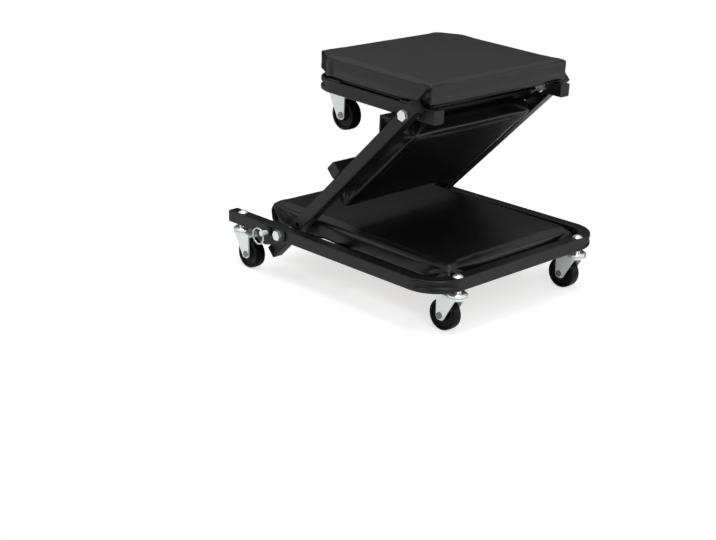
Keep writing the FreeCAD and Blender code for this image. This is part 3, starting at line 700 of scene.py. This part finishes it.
@dataclass
class Cushion:
    """Foam pad on a plywood board, under one vinyl cover that is stapled beneath the board."""

    palette: Palette
    name: str
    section: Section
    corners: list[Corner]
    level: float
    height: float
    crown: float = 3.0
    edge_roll: float = 4.5
    foot_roll: float = 1.0
    side_bow: float = 2.0
    crisp: float = 0.5
    crisp_reach: float = 8.0
    sewn_foot: float = 2.0
    start_inside: float = 0.3
    board: float = 8.0
    board_inset: float = 9.5
    board_gap: float = 0.4
    board_shift: float = 0.0
    voxel: float = 4.0
    pressure: float = 4.0
    frames: int = 20
    most_move: float = 2.6
    most_shrink: float = 0.3
    hem_width: float = 24.0
    hem: float = 0.8
    staple_pitch: float = 34.0
    staple: float = 9.0
    staple_in: float = 0.62
    staple_gap: float = 0.3
    wire: float = 0.55
    held_below: float = 1.5
    most_spread: float = 0.4
    edge_rings: int = 6
    top_rings: int = 13
    pocket_points: int = 120
    pocket_below: float = 6.0
    count: int = 480

    # Each wave of the hem's cut edge has a height, a number of waves round the pad and a start.
    WAVER = ((1.6, 17, 0.0), (1.1, 41, 0.8))
    STAPLE_TILT = ((0.94, -0.34), (0.34, 0.94))

    @property
    def node(self) -> str:
        """CAD node that the cushion stands for."""
        return self.name + "_pad"

    @property
    def low(self) -> Points:
        """Least x and y of the cushion's plan."""
        return np.array(self.corners)[:, :2].min(axis=0)

    @property
    def high(self) -> Points:
        """Greatest x and y of the cushion's plan."""
        return np.array(self.corners)[:, :2].max(axis=0)

    def outline(self) -> Points:
        """Plan outline of the cushion."""
        return plan_outline(self.corners, self.count, self.side_bow)

    def shell(self) -> Points:
        """Closed form that is swollen: rings of the outline carried up the edge and in to the middle.

        The lower edge is a quarter circle of the foot roll, the upper one of the edge roll. The top
        rises from its edge to the middle by crown (1 - (1 - share)^2).

        Returns:
            Array of rings x points x 3.
        """
        reach = float(self.high[1])
        turn = np.linspace(0, math.pi / 2, self.edge_rings)
        foot, roll = self.foot_roll, self.edge_roll
        top = self.height - self.start_inside / 2
        share = np.linspace(0, 1, self.top_rings + 1)[1:]
        rolled = roll + share * 2 * reach
        crown = top + self.crown * (1 - (1 - share) ** 2)
        edges = [foot * (1 - np.sin(turn)), roll * (1 - np.cos(turn))]
        heights = [foot * (1 - np.cos(turn)), top - roll * (1 - np.sin(turn))]
        inset = np.concatenate([[2 * reach, reach * 0.5], *edges, rolled])
        rise = np.concatenate([[0, 0], *heights, crown])
        rings = drawn_in(self.outline(), inset + self.start_inside)
        return lifted(rings, rise)

    def swell(self, piece: Piece) -> None:
        """Blow the closed form up as cloth, held where it lies on the board.

        Args:
            piece: Piece whose mesh lies flat, in metres.
        """
        remesh = piece.modifiers.new("even_faces", "REMESH")
        remesh.mode = "VOXEL"
        remesh.voxel_size = self.voxel * MM
        bake(piece)
        rest = read_vectors(piece.data.vertices, "co")
        outward = read_vectors(piece.data.vertex_normals, "vector")
        held = piece.vertex_groups.new(name="held")
        held.add(np.flatnonzero(rest[:, 2] < self.held_below * MM).tolist(), 1.0, "REPLACE")
        cloth = piece.modifiers.new("cover", "CLOTH")
        cloth.settings.vertex_group_mass = "held"
        cloth.settings.use_pressure = True
        cloth.settings.uniform_pressure_force = self.pressure
        cloth.settings.effector_weights.gravity = 0.0
        scene = bpy.context.scene
        for step in range(1, self.frames + 1):
            scene.frame_set(step)
        bake(piece)
        scene.frame_set(1)
        blown = read_vectors(piece.data.vertices, "co")
        move = np.sum((blown - rest) * outward, axis=1, keepdims=True)
        move = np.clip(move, -self.most_shrink * MM, self.most_move * MM)
        write_points(piece.data, rest + outward * move)
        piece.vertex_groups.clear()

    def crispen(self, points: Points) -> Points:
        """Press the soft edges out towards the sewn edges of the cover.

        With inset s from a side, t from the top and closeness c(a) = 1 - a / reach, a point moves
        out through the side by crisp s c(s) max(c(t), c(other sides)), and up by crisp t c(t) max c(s).
        A lower edge with hardly any roll is pressed out like the upper one.

        Args:
            points: Vertices in millimetres.

        Returns:
            The moved vertices.
        """
        plan = np.array(self.corners)[:, :2]
        along = unit(np.roll(plan, -1, axis=0) - plan)
        outward = np.stack([along[:, 1], -along[:, 0]], axis=-1)
        inset = np.clip(np.sum((plan - points[:, None, :2]) * outward, axis=-1), 0, None)
        below = np.clip(self.height - points[:, 2], 0, None)
        near_side, near_top = near(inset, self.crisp_reach), near(below, self.crisp_reach)
        ranked = np.sort(near_side, axis=1)
        other = np.where(near_side == ranked[:, -1:], ranked[:, -2:-1], ranked[:, -1:])
        near_foot = near(points[:, 2], self.crisp_reach) * (self.foot_roll < self.sewn_foot)
        push = self.crisp * inset * near_side * np.maximum(np.maximum(near_top, near_foot)[:, None], other)
        moved = points.copy()
        moved[:, :2] += push @ outward
        moved[:, 2] += self.crisp * below * near_top * ranked[:, -1]
        return moved

    def tuck(self, points: Points) -> Points:
        """Leave the lower edge as it is; a cushion whose cover is pulled hard round the board draws it in.
        """
        return points

    def shape(self, points: Points, normals: Points) -> Points:
        """Leave the swollen cover as it is; a cushion that is folded and sewn draws it in there.

        Args:
            points: Vertices in millimetres, with the board's face at zero height.
            normals: Their normals; not used.

        Returns:
            The moved vertices.
        """
        return points

    def seam(self, points: Points) -> Points:
        """Distance of each vertex from the nearest seam line; far off where there is none."""
        return np.full(len(points), NO_SEAM)

    def pleats(
        self, points: Points, normals: Points, folds: int, deep: float, reach: float, tip: float = 8.0
    ) -> Points:
        """Folds in the sides that fan out from the top of each plan corner, where the cover is gathered.

        With run along the side and drop below the top, the side moves along its normal by
        deep cos(folds atan2(drop, run)) exp(-(r / reach)^2) (1 - exp(-(r / tip)^2)), r being the
        distance from the corner. The top stays as it is.

        Args:
            points: Vertices in millimetres.
            normals: Their normals.
            folds: Number of folds in a full turn.
            deep: Half the depth of a fold.
            reach: Distance at which the folds have died away to a third.
            tip: Distance from the corner at which they set in.

        Returns:
            Displacements of the vertices.
        """
        push = np.zeros(len(points))
        drop = np.clip(self.height - points[:, 2], 0, None)
        for x, y, _ in self.corners:
            run = np.hypot(points[:, 0] - x, points[:, 1] - y)
            far = np.hypot(run, drop)
            fade = np.exp(-((far / reach) ** 2)) * (1 - np.exp(-((far / tip) ** 2)))
            push += deep * np.cos(folds * np.arctan2(drop, run)) * fade
        return normals * (push * (1 - np.abs(normals[:, 2])))[:, None]

    def pocket(self) -> Piece:
        """Cutter for the board's place in the underside of the cushion.

        Returns:
            A closed slab, a little larger than the board.
        """
        points = self.pocket_points
        inset = np.full(2, self.board_inset - self.board_gap)
        rings = drawn_in(plan_outline(self.corners, points, 0.0), inset) - [self.board_shift, 0]
        heights = np.array([-self.pocket_below, self.board])
        walls = lifted(rings, heights)
        middle = walls.mean(axis=1, keepdims=True) * np.ones((1, points, 1))
        middle[..., 2] = heights[:, None]
        slab = np.stack([middle[0], walls[0], walls[1], middle[1]])
        return lay_grids(self.name + "_pocket", [slab * MM])

    def cover(self) -> Piece:
        """Make the swollen cover and put it in place of the CAD pad.

        Returns:
            The cushion.
        """
        piece = lay_grids(self.name + "_cushion", [self.shell() * MM])
        self.swell(piece)
        finer = piece.modifiers.new("finer", "SUBSURF")
        finer.levels = finer.render_levels = 1
        bake(piece)
        points = self.crispen(read_vectors(piece.data.vertices, "co") / MM)
        normals = read_vectors(piece.data.vertex_normals, "vector")
        points = self.tuck(self.shape(points, normals))
        most = self.most_spread
        points[:, :2] = np.clip(points[:, :2], self.low - most, self.high + most)
        points[:, 2] = np.maximum(points[:, 2], 0)
        write_points(piece.data, points * MM)
        cutter = self.pocket()
        carve = piece.modifiers.new("board_place", "BOOLEAN")
        carve.object = cutter
        carve.solver = "EXACT"
        bake(piece)
        bpy.data.objects.remove(cutter)
        points = read_vectors(piece.data.vertices, "co") / MM
        write_seam(piece.data, self.seam(points))
        points[:, 2] += self.level + self.board_gap
        write_points(piece.data, self.section.place(points))
        smooth(piece, sharp_angle=50)
        self.palette.dress(piece, Slot.PAD_VINYL)
        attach(piece, self.section.body)
        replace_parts(piece, self.node)
        return piece

    def turned_under(self) -> Piece:
        """Hem of the cover, laid flat on the underside of the board with a hand-cut inner edge.

        A thin closed section is carried round the outline. Its inner side wavers by two sines.

        Returns:
            The hem.
        """
        outline = self.outline()
        round_trip = np.linspace(0, 2 * math.pi, self.count, endpoint=False)
        waver = sum(high * np.sin(waves * round_trip + start) for high, waves, start in self.WAVER)
        outer = np.full(self.count, self.foot_roll + self.start_inside)
        inner = outer + self.hem_width + waver
        half = (outer + inner) / 2
        inset = np.stack([outer, outer, half, inner, inner, half])
        under = self.level - self.hem
        lift = np.array([self.level + self.board_gap, under, under, under, self.level, self.level])
        rings = drawn_in(outline, inset)
        band = lifted(rings, lift)
        band = self.tuck(band.reshape(-1, 3)).reshape(band.shape)
        piece = lay_grids(self.name + "_hem", [self.section.place(band)], close_rows=True)
        write_seam(piece.data, np.full(len(piece.data.vertices), NO_SEAM))
        smooth(piece, sharp_angle=30)
        self.palette.dress(piece, Slot.PAD_VINYL)
        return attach(piece, self.section.body)

    def staples(self) -> Piece:
        """Wire staples along the hem, each set a little askew.

        Returns:
            All staples of the cushion as one piece.
        """
        inset = np.array([self.foot_roll + self.start_inside + self.hem_width * self.staple_in])
        line = drawn_in(self.outline(), inset)[0]
        length = np.linalg.norm(np.roll(line, -1, axis=0) - line, axis=1).sum()
        number = int(length / self.staple_pitch)
        at = (np.arange(number) * len(line) / number).astype(int)
        along = unit(np.roll(line, -1, axis=0) - line)[at]
        reach = along @ np.array(self.STAPLE_TILT) * self.staple / 2
        lift = np.full((number, 1), self.level - self.hem - self.staple_gap)
        starts = np.concatenate([line[at] - reach, lift], axis=1)
        ends = np.concatenate([line[at] + reach, lift], axis=1)
        bars = (bar(a, b, self.wire, rows=5, around=6) for a, b in zip(starts, ends))
        wires = [self.section.place(wire) for wire in bars]
        piece = lay_grids(self.name + "_staples", wires)
        smooth(piece, sharp_angle=60)
        self.palette.dress(piece, Slot.ZINC_STEEL)
        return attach(piece, self.section.body)

    def build(self) -> list[Piece]:
        """Make the cushion, its hem and its staples."""
        return [self.cover(), self.turned_under(), self.staples()]


@dataclass
class SeatCushion(Cushion):
    """Thick seat: boxed sides with a sewn top edge, and open folds at the two hinge corners."""

    seam_in: float = 1.8
    waist: float = 0.8
    end_roll: float = 1.0
    flap: float = 3.0
    fold_deep: float = 13.0
    fold_wide: float = 30.0
    fold_reach: float = 34.0
    fold_least: float = 2.0
    fold_top: float = 0.9
    fold_fade: float = 0.25
    lean_from: float = 0.4
    seam_below: float = 4.0

    # A fold's depth beside the board is held back: the shares of the height, and the depth at the foot.
    FOLD_SHARES = (0.05, 0.2, 0.5)
    FOLD_FOOT = 2.5
    FOLD_SKIN = 3.0

    def shape(self, points: Points, normals: Points) -> Points:
        """Draw in the waist of the side panels, the roll of the end panel and the folds at its corners.

        The waist is a sine over the height. The end panel leans back by the square of the height
        above its lower part. A fold is a hollow in the long side, behind the flap of the end panel:
        deepest at the flap, it runs out to nothing over a width that grows from the top corner to
        the lower edge. Beside the board it is only as deep as the foam there.

        Args:
            points: Vertices in millimetres.
            normals: Their normals.

        Returns:
            The moved vertices.
        """
        share = np.clip(points[:, 2] / self.height, 0, 1)
        points = points - normals * [1, 1, 0] * (self.waist * np.sin(math.pi * share) ** 2)[:, None]
        at_end = near(self.high[0] - points[:, 0], 4 * self.end_roll)
        lean = np.clip((share - self.lean_from) / (1 - self.lean_from), 0, 1) ** 2
        points[:, 0] -= self.end_roll * lean * at_end
        behind = self.high[0] - self.flap - points[:, 0]
        wide = self.fold_least + self.fold_wide * (1 - share)
        hollow = np.where(behind > 0, near(behind, wide), 0)
        hollow = hollow * np.clip((self.fold_top - share) / self.fold_fade, 0, 1)
        outer = near(self.high[1] - np.abs(points[:, 1]), self.fold_reach)
        depths = [self.FOLD_FOOT, self.board_inset - self.FOLD_SKIN, self.fold_deep]
        deep = np.interp(share, self.FOLD_SHARES, depths)
        points[:, 1] -= np.sign(points[:, 1]) * deep * hollow * outer
        return points

    def seam(self, points: Points) -> Points:
        """Distance from the line on top, just inside the outline, where the top panel is sewn on.

        Args:
            points: Vertices in millimetres.

        Returns:
            A distance for each vertex, far off below the top.
        """
        side = self.high[1] - np.abs(points[:, 1])
        end = np.minimum(self.high[0] - points[:, 0], points[:, 0] - self.low[0])
        from_edge = np.minimum(side, end) - self.seam_in
        return np.where(points[:, 2] > self.height - self.seam_below, from_edge, NO_SEAM)


class MiddleCushion(Cushion):
    """Middle pad, whose cover is gathered at its corners."""

    def shape(self, points: Points, normals: Points) -> Points:
        """Lay shallow pleats at the corners."""
        return points + self.pleats(points, normals, folds=9, deep=1.3, reach=60.0)


@dataclass
class BaseCushion(Cushion):
    """Long base pad, full at the hinge and worn flatter at the foot, gathered in pleats at its corners."""

    rear_rise: float = 5.0
    foot_fall: float = 2.0
    corner_droop: float = 4.0
    droop_reach: float = 70.0
    tuck_from: float = 34.0
    tuck_to: float = 126.0
    tuck_deep: float = 6.6
    tuck_reach: float = 26.0
    tuck_onset: float = 0.14

    def tuck(self, points: Points) -> Points:
        """Draw the lower edge of the long sides in near the hinge.

        The side moves in most just after the tuck's start and eases out by a squared cosine along its
        length, less towards the top and the middle.

        Args:
            points: Vertices in millimetres.

        Returns:
            The moved vertices.
        """
        along = np.clip((points[:, 0] - self.tuck_from) / (self.tuck_to - self.tuck_from), 0, 1)
        low = near(points[:, 2], self.height)
        outer = near(self.high[1] - np.abs(points[:, 1]), self.tuck_reach)
        moved = points.copy()
        pull = np.clip(along / self.tuck_onset, 0, 1) * np.cos(math.pi / 2 * along) ** 2
        moved[:, 1] -= np.sign(points[:, 1]) * self.tuck_deep * pull * low * outer
        return moved

    def shape(self, points: Points, normals: Points) -> Points:
        """Lay pleats at the corners, lift the hinge end and let the foot corners droop.

        The top's height changes linearly along the pad. A corner falls by droop (1 - distance / reach)^2.

        Args:
            points: Vertices in millimetres.
            normals: Their normals.

        Returns:
            The moved vertices.
        """
        points = points + self.pleats(points, normals, folds=10, deep=4.0, reach=60.0, tip=20.0)
        share = np.clip(points[:, 2] / self.height, 0, 1)
        along = (points[:, 0] - self.low[0]) / (self.high[0] - self.low[0])
        points[:, 2] += share * (self.rear_rise * (1 - along) - self.foot_fall * along)
        away = np.hypot(self.high[0] - points[:, 0], self.high[1] - np.abs(points[:, 1]))
        points[:, 2] -= share * self.corner_droop * near(away, self.droop_reach) ** 2
        return points


@dataclass
class WeldBeads:
    """Runs of weld under the paint, where straps and the cross tube meet the rails."""

    palette: Palette
    tube: float = 22.0
    radius: float = 1.9
    ripple: float = 0.14
    base_rail: float = 200.0
    mid_rail: float = 176.5
    head_rail: float = 153.0
    strap: float = 28.0
    strap_under: float = -11.0
    base_straps: tuple[float, float] = (100.0, 300.0)
    mid_straps: tuple[float, float] = (-130.0, -286.0)
    seat_straps: tuple[float, float] = (-20.0, -190.0)
    cross_tube: float = -174.0
    strap_short: float = 1.0
    rail_short: float = 2.0

    def pair(self, x: float, y: float, z: float, reach: Points) -> list[Run]:
        """Ends of two runs, one on each side of the middle line.

        Args:
            x: Middle of both runs along the section.
            y: Distance of their middles from the middle line.
            z: Their height.
            reach: From the middle of a run to its end.

        Returns:
            Both pairs of end points.
        """
        middles = (np.array([x, side * y, z]) for side in (-1, 1))
        return [(middle - reach, middle + reach) for middle in middles]

    def runs(self) -> dict[str, tuple[Section, list[Run]]]:
        """Runs that join butted straps to the rails' inner faces, and others that cross the rails.

        Returns:
            Section and runs of each piece, by its name.
        """
        half, edge = self.tube / 2, self.strap / 2
        along = np.array([edge - self.strap_short, 0, 0])
        across = np.array([0, half - self.rail_short, 0])
        base, mid, head = [], [], []
        for x in self.base_straps:
            base += self.pair(x, self.base_rail - half, self.strap_under, along)
        for x in self.mid_straps:
            mid += self.pair(x, self.mid_rail - half, self.strap_under, along)
        for x in (self.cross_tube - half, self.cross_tube + half):
            mid += self.pair(x, self.mid_rail, -half, across)
        for x in self.seat_straps:
            head += self.pair(x - edge, self.head_rail, half, across)
            head += self.pair(x + edge, self.head_rail, half, across)
        return {
            "base_weld_beads": (BASE, base),
            "mid_weld_beads": (MID, mid),
            "head_weld_beads": (HEAD, head),
        }

    def build(self) -> list[Piece]:
        """Make one piece of weld for each section.

        Returns:
            The pieces.
        """
        pieces = []
        for name, (section, ends) in self.runs().items():
            beads = (bar(a, b, self.radius, rows=29, around=12, ripple=self.ripple) for a, b in ends)
            piece = lay_grids(name, [section.place(bead) for bead in beads])
            smooth(piece, sharp_angle=80)
            self.palette.dress(piece, Slot.FRAME_PAINT)
            pieces.append(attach(piece, section.body))
        return pieces


@dataclass
class Wheels:
    """Moulded caster wheels: a round-shouldered tread, a recessed face and a proud hub."""

    palette: Palette
    radius: float = 27.0
    half_width: float = 10.5
    hub_proud: float = 0.8
    hub: float = 9.0
    bore: float = 4.06
    shoulder: float = 3.6
    rim: float = 21.0
    recess: float = 3.0
    parting: float = 0.25
    parting_wide: float = 0.5
    tread_points: int = 41
    around: int = 112

    def profile(self) -> Points:
        """Closed half section of the wheel, as radius and distance along the axle.

        The tread is a superellipse, |across / half width|^4 + (rise / shoulder)^(10/3) = 1, with a fine
        parting ridge in the middle; the faces step from the rim through the recess to the hub.

        Returns:
            Array of N x 2.
        """
        turn = np.linspace(0, math.pi, self.tread_points)
        across = self.half_width * np.sign(np.cos(turn)) * np.abs(np.cos(turn)) ** 0.5
        inner = self.radius - self.shoulder
        tread = inner + self.shoulder * np.sin(turn) ** 0.6
        tread += self.parting * np.exp(-((across / self.parting_wide) ** 2)) - self.parting
        web, proud = self.half_width - self.recess, self.half_width + self.hub_proud
        # Small steps from these lines, in millimetres, make the chamfers and fillets of the face.
        rim, hub, wide = self.rim, self.hub, self.half_width
        edge = [(rim + 0.6, wide), (rim, wide - 0.6), (rim - 0.8, web + 0.3), (rim - 1.4, web)]
        boss = [(hub + 1.4, web), (hub + 0.9, web + 0.4), (hub, proud - 0.5), (hub - 0.5, proud)]
        face = np.array([*edge, *boss, (self.bore, proud)])
        return np.concatenate([np.stack([tread, across], axis=-1), face * [1, -1], face[::-1]])

    def build(self) -> list[Piece]:
        """Turn the section about each axle, in place of the CAD wheel.

        Returns:
            The wheels.
        """
        turn = np.linspace(0, 2 * math.pi, self.around, endpoint=False)
        section = self.profile()
        radius, along = section[:, :1], section[:, 1:] * np.ones(self.around)
        ring = np.stack([radius * np.cos(turn), along, radius * np.sin(turn)], axis=-1) * MM
        pieces = []
        for name in sorted(node for node in frame["nodes"] if node.startswith("caster_wheel_")):
            low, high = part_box(name)
            turned = ring + np.array((low + high) / 2)
            piece = lay_grids(name.replace("caster", "moulded"), [turned], close_rows=True)
            smooth(piece, sharp_angle=35)
            self.palette.dress(piece, Slot.WHEEL_POLYMER)
            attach(piece, name.replace("caster_", ""))
            pieces.append(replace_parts(piece, name))
        return pieces


@dataclass(frozen=True)
class Lamp:
    """Square soft lamp that faces the object; its place and side are in metres."""

    name: str
    place: tuple[float, float, float]
    side: float
    watts: float
    on_floor: bool = True

    AIM = (0.0, 0.0, 0.2)

    def hang(self) -> None:
        """Hang the lamp; one that is not on the floor lights no matt surface and casts no shadow."""
        data = bpy.data.lights.new(self.name, "AREA")
        data.shape = "SQUARE"
        data.size = self.side
        data.energy = self.watts
        lamp = bpy.data.objects.new(self.name, data)
        lamp.location = self.place
        lamp.visible_diffuse = self.on_floor
        lamp.rotation_mode = "QUATERNION"
        lamp.rotation_quaternion = (Vector(self.AIM) - Vector(self.place)).to_track_quat("-Z", "Y")
        bpy.context.scene.collection.objects.link(lamp)


@dataclass
class Studio:
    """Pale floor and room, four soft lamps, two black cards and the camera at the photograph's angle.

    The camera's lengths are in millimetres, those of the floor and the cards in metres.
    """

    target: tuple[float, float, float] = (30.5, 0.0, 150.0)
    azimuth: float = 46.71
    elevation: float = 20.04
    roll: float = 0.93
    distance: float = 2386.0
    aside: float = 121.88
    above: float = 129.06
    focal_pixels: float = 1369.3
    image_width: int = 716
    floor_glow: float = 0.65
    floor_share: float = 0.55
    shadow_reach: float = 0.5
    room: float = 0.55
    walls: float = 0.06
    flag_x: tuple[float, float] = (-0.75, 0.35)
    flag_y: tuple[float, float] = (0.23, 0.5)
    screen_far: float = 0.8
    screen_half_width: float = 0.9
    screen_height: float = 0.58
    card_lift: float = 0.003
    floor_half: float = 8.0
    horizon: float = 0.10

    LAMPS = (
        Lamp("overhead", (0.2, -0.3, 2.6), 1.8, 34.0),
        Lamp("right_front", (2.2, -1.0, 1.5), 1.2, 24.0),
        Lamp("right_back", (2.0, 1.9, 0.45), 1.4, 12.0, on_floor=False),
        Lamp("left_front", (-2.0, -1.9, 0.4), 1.4, 10.0, on_floor=False),
    )

    def camera(self) -> Piece:
        """Set the camera up from its angles, distance and offset.

        Returns:
            The camera.
        """
        turn, lift, roll = (math.radians(a) for a in (self.azimuth, self.elevation, self.roll))
        back = np.array([math.sin(turn) * math.cos(lift), -math.cos(turn) * math.cos(lift), math.sin(lift)])
        level = np.array([math.cos(turn), math.sin(turn), 0.0])
        upright = np.cross(back, level)
        right = level * math.cos(roll) + upright * math.sin(roll)
        up = upright * math.cos(roll) - level * math.sin(roll)
        eye = np.array(self.target) + back * self.distance - right * self.aside - up * self.above
        data = bpy.data.cameras.new("camera")
        data.sensor_width = 36.0
        data.lens = self.focal_pixels * data.sensor_width / self.image_width
        data.clip_end = 50.0
        view = bpy.data.objects.new("camera", data)
        turned = Matrix(np.stack([right, up, back], axis=1).tolist()).to_4x4()
        view.matrix_world = Matrix.Translation(Vector((eye * MM).tolist())) @ turned
        bpy.context.scene.collection.objects.link(view)
        bpy.context.scene.camera = view
        return view

    def sheet(self, name: str, corners: Points, material: bpy.types.Material) -> Piece:
        """Put a flat four-cornered piece in the studio.

        Args:
            name: Name of the piece.
            corners: Its corners in metres, a row each, in order.
            material: What it is made of.

        Returns:
            The piece.
        """
        mesh = bpy.data.meshes.new(name)
        mesh.from_pydata(corners.tolist(), [], [(0, 1, 2, 3)])
        mesh.materials.append(material)
        sheet = bpy.data.objects.new(name, mesh)
        bpy.context.scene.collection.objects.link(sheet)
        return sheet

    def floor(self) -> Piece:
        """Lay a pale floor that glows white to the camera and keeps the object's shadow.

        Returns:
            The floor.
        """
        material = bpy.data.materials.new("pale_paper_floor")
        tree = empty_tree(material)
        path = add_node(tree, "ShaderNodeLightPath").outputs
        paper = add_node(tree, "ShaderNodeBsdfDiffuse", {"Color": linear("#F4F4F4")}).outputs[0]
        glow = {"Color": linear("#FFFFFF"), "Strength": self.floor_glow}
        seen = add_node(tree, "ShaderNodeEmission", glow).outputs[0]
        dimmed = add_node(tree, "ShaderNodeMixShader", {0: 1 - self.floor_share, 1: paper}).outputs[0]
        glowing = add_node(tree, "ShaderNodeAddShader", {0: dimmed, 1: seen}).outputs[0]
        place = add_node(tree, "ShaderNodeTexCoord").outputs["Object"]
        far = add_node(tree, "ShaderNodeVectorMath", {0: place}, operation="LENGTH").outputs["Value"]
        ring = {"Value": far, "From Min": self.shadow_reach, "From Max": 2 * self.shadow_reach}
        clear = add_node(tree, "ShaderNodeMapRange", ring, interpolation_type="SMOOTHSTEP").outputs[0]
        light = {"Color": linear("#FFFFFF"), "Strength": 1.0}
        white = add_node(tree, "ShaderNodeEmission", light).outputs[0]
        faded = add_node(tree, "ShaderNodeMixShader", {0: clear, 1: glowing, 2: white}).outputs[0]
        both = {0: path["Is Camera Ray"], 1: paper, 2: faded}
        shown = add_node(tree, "ShaderNodeMixShader", both).outputs[0]
        add_node(tree, "ShaderNodeOutputMaterial", {"Surface": shown})
        a = self.floor_half
        corners = np.array([(-a, -a, 0.0), (a, -a, 0.0), (a, a, 0.0), (-a, a, 0.0)])
        return self.sheet("floor", corners, material)

    def world(self) -> None:
        """Surround the object with a plain room: white to the camera, and in reflections paler overhead."""
        world = bpy.data.worlds.new("white_room")
        tree = empty_tree(world)
        path = add_node(tree, "ShaderNodeLightPath").outputs
        rays = {0: path["Is Glossy Ray"], 1: path["Is Transmission Ray"]}
        mirrored = add_node(tree, "ShaderNodeMath", rays, operation="MAXIMUM").outputs[0]
        direction = add_node(tree, "ShaderNodeTexCoord").outputs["Generated"]
        height = add_node(tree, "ShaderNodeSeparateXYZ", {0: direction}).outputs["Z"]
        dome = {"Value": height, "From Min": self.horizon, "To Min": self.walls}
        reflected = add_node(tree, "ShaderNodeMapRange", dome, interpolation_type="SMOOTHSTEP").outputs[0]
        lit = add_node(tree, "ShaderNodeMix", {0: mirrored, 2: self.room, 3: reflected}).outputs[0]
        strength = add_node(tree, "ShaderNodeMix", {0: path["Is Camera Ray"], 2: lit, 3: 1.0}).outputs[0]
        sky = add_node(tree, "ShaderNodeBackground", {"Color": linear("#FFFFFF"), "Strength": strength})
        add_node(tree, "ShaderNodeOutputWorld", {"Surface": sky.outputs[0]})
        bpy.context.scene.world = world

    def card(self, name: str, corners: Points) -> None:
        """Set up a black card of painted shade: seen only in reflections, it darkens them as if the floor
        and room there lay in shade.

        Args:
            name: Name of the card.
            corners: Its corners in metres, a row each, in order.
        """
        material = bpy.data.materials.new(name)
        material.use_nodes = True
        # Painted shade: a near-black sheet that only reflections see.
        material.node_tree.nodes["Principled BSDF"].inputs["Base Color"].default_value = linear("#050505")
        card = self.sheet(name, corners, material)
        for kind in ("camera", "diffuse", "transmission", "shadow"):
            setattr(card, "visible_" + kind, False)

    def cards(self) -> None:
        """Lay one card of painted shade on the floor behind the object and stand another behind that."""
        (x0, x1), (y0, y1), z = self.flag_x, self.flag_y, self.card_lift
        self.card("floor_card", np.array([(x0, y0, z), (x1, y0, z), (x1, y1, z), (x0, y1, z)]))
        turn = math.radians(self.azimuth)
        foot = np.array([-math.sin(turn), math.cos(turn), 0.0]) * self.screen_far
        aside = np.array([math.cos(turn), math.sin(turn), 0.0]) * self.screen_half_width
        rise = np.array([0.0, 0.0, self.screen_height])
        left, right = foot - aside, foot + aside
        self.card("back_card", np.stack([left, right, right + rise, left + rise]))

    def build(self) -> None:
        """Set up the room, lamps, floor and camera."""
        bpy.context.scene.view_settings.view_transform = "Standard"
        self.world()
        self.floor()
        self.cards()
        for lamp in self.LAMPS:
            lamp.hang()
        self.camera()


def rectangle(low: float, high: float, half: float, radius: float) -> list[Corner]:
    """Anticlockwise corners of a plan rectangle about the middle line."""
    plan = ((low, -half), (high, -half), (high, half), (low, half))
    return [(x, y, radius) for x, y in plan]


def seat_corners(
    low: float, high: float, half: float, radius: float, cut: float, narrow: float
) -> list[Corner]:
    """Corners of the seat, whose two outer corners are cut off.

    Args:
        low: Least x.
        high: Greatest x.
        half: Half of the width.
        radius: Radius of each corner.
        cut: How far along the seat a cut runs.
        narrow: How far in from the side it runs.

    Returns:
        Anticlockwise corners.
    """
    left = [(high, half), (low + cut, half), (low, half - narrow)]
    plan = [(high, -half), *left, (low, narrow - half), (low + cut, -half)]
    return [(x, y, radius) for x, y in plan]


def main() -> None:
    """Build every sub-assembly in order and report its pieces."""
    logging.basicConfig(level=logging.INFO, format="%(name)s: %(message)s")
    palette = Palette()
    seat_plan = seat_corners(low=-252.0, high=33.0, half=164.3, radius=2.5, cut=45.0, narrow=27.0)
    mid_plan = rectangle(low=-332.0, high=-102.0, half=141.5, radius=4.0)
    base_plan = rectangle(low=-91.0, high=351.0, half=157.0, radius=5.0)
    seat_look = dict(edge_roll=3.0, hem_width=62.0, foot_roll=5.0, side_bow=0.0, crisp=0.9)
    base_look = dict(edge_roll=10.0, side_bow=0.5, crisp=0.2, board_shift=3.0)
    parts = [
        SteelAndPlastic(palette),
        SeatCushion(palette, "seat", HEAD, seat_plan, level=14.0, height=33.5, **seat_look),
        MiddleCushion(palette, "mid", MID, mid_plan, level=-8.0, height=28.0),
        BaseCushion(palette, "base", BASE, base_plan, level=-8.0, height=32.0, **base_look),
        WeldBeads(palette),
        Wheels(palette),
    ]
    for part in parts:
        for piece in part.build():
            LOG.info("%s made %s", type(part).__name__, piece.name)
    Studio().build()


if __name__ == "__main__":
    main()
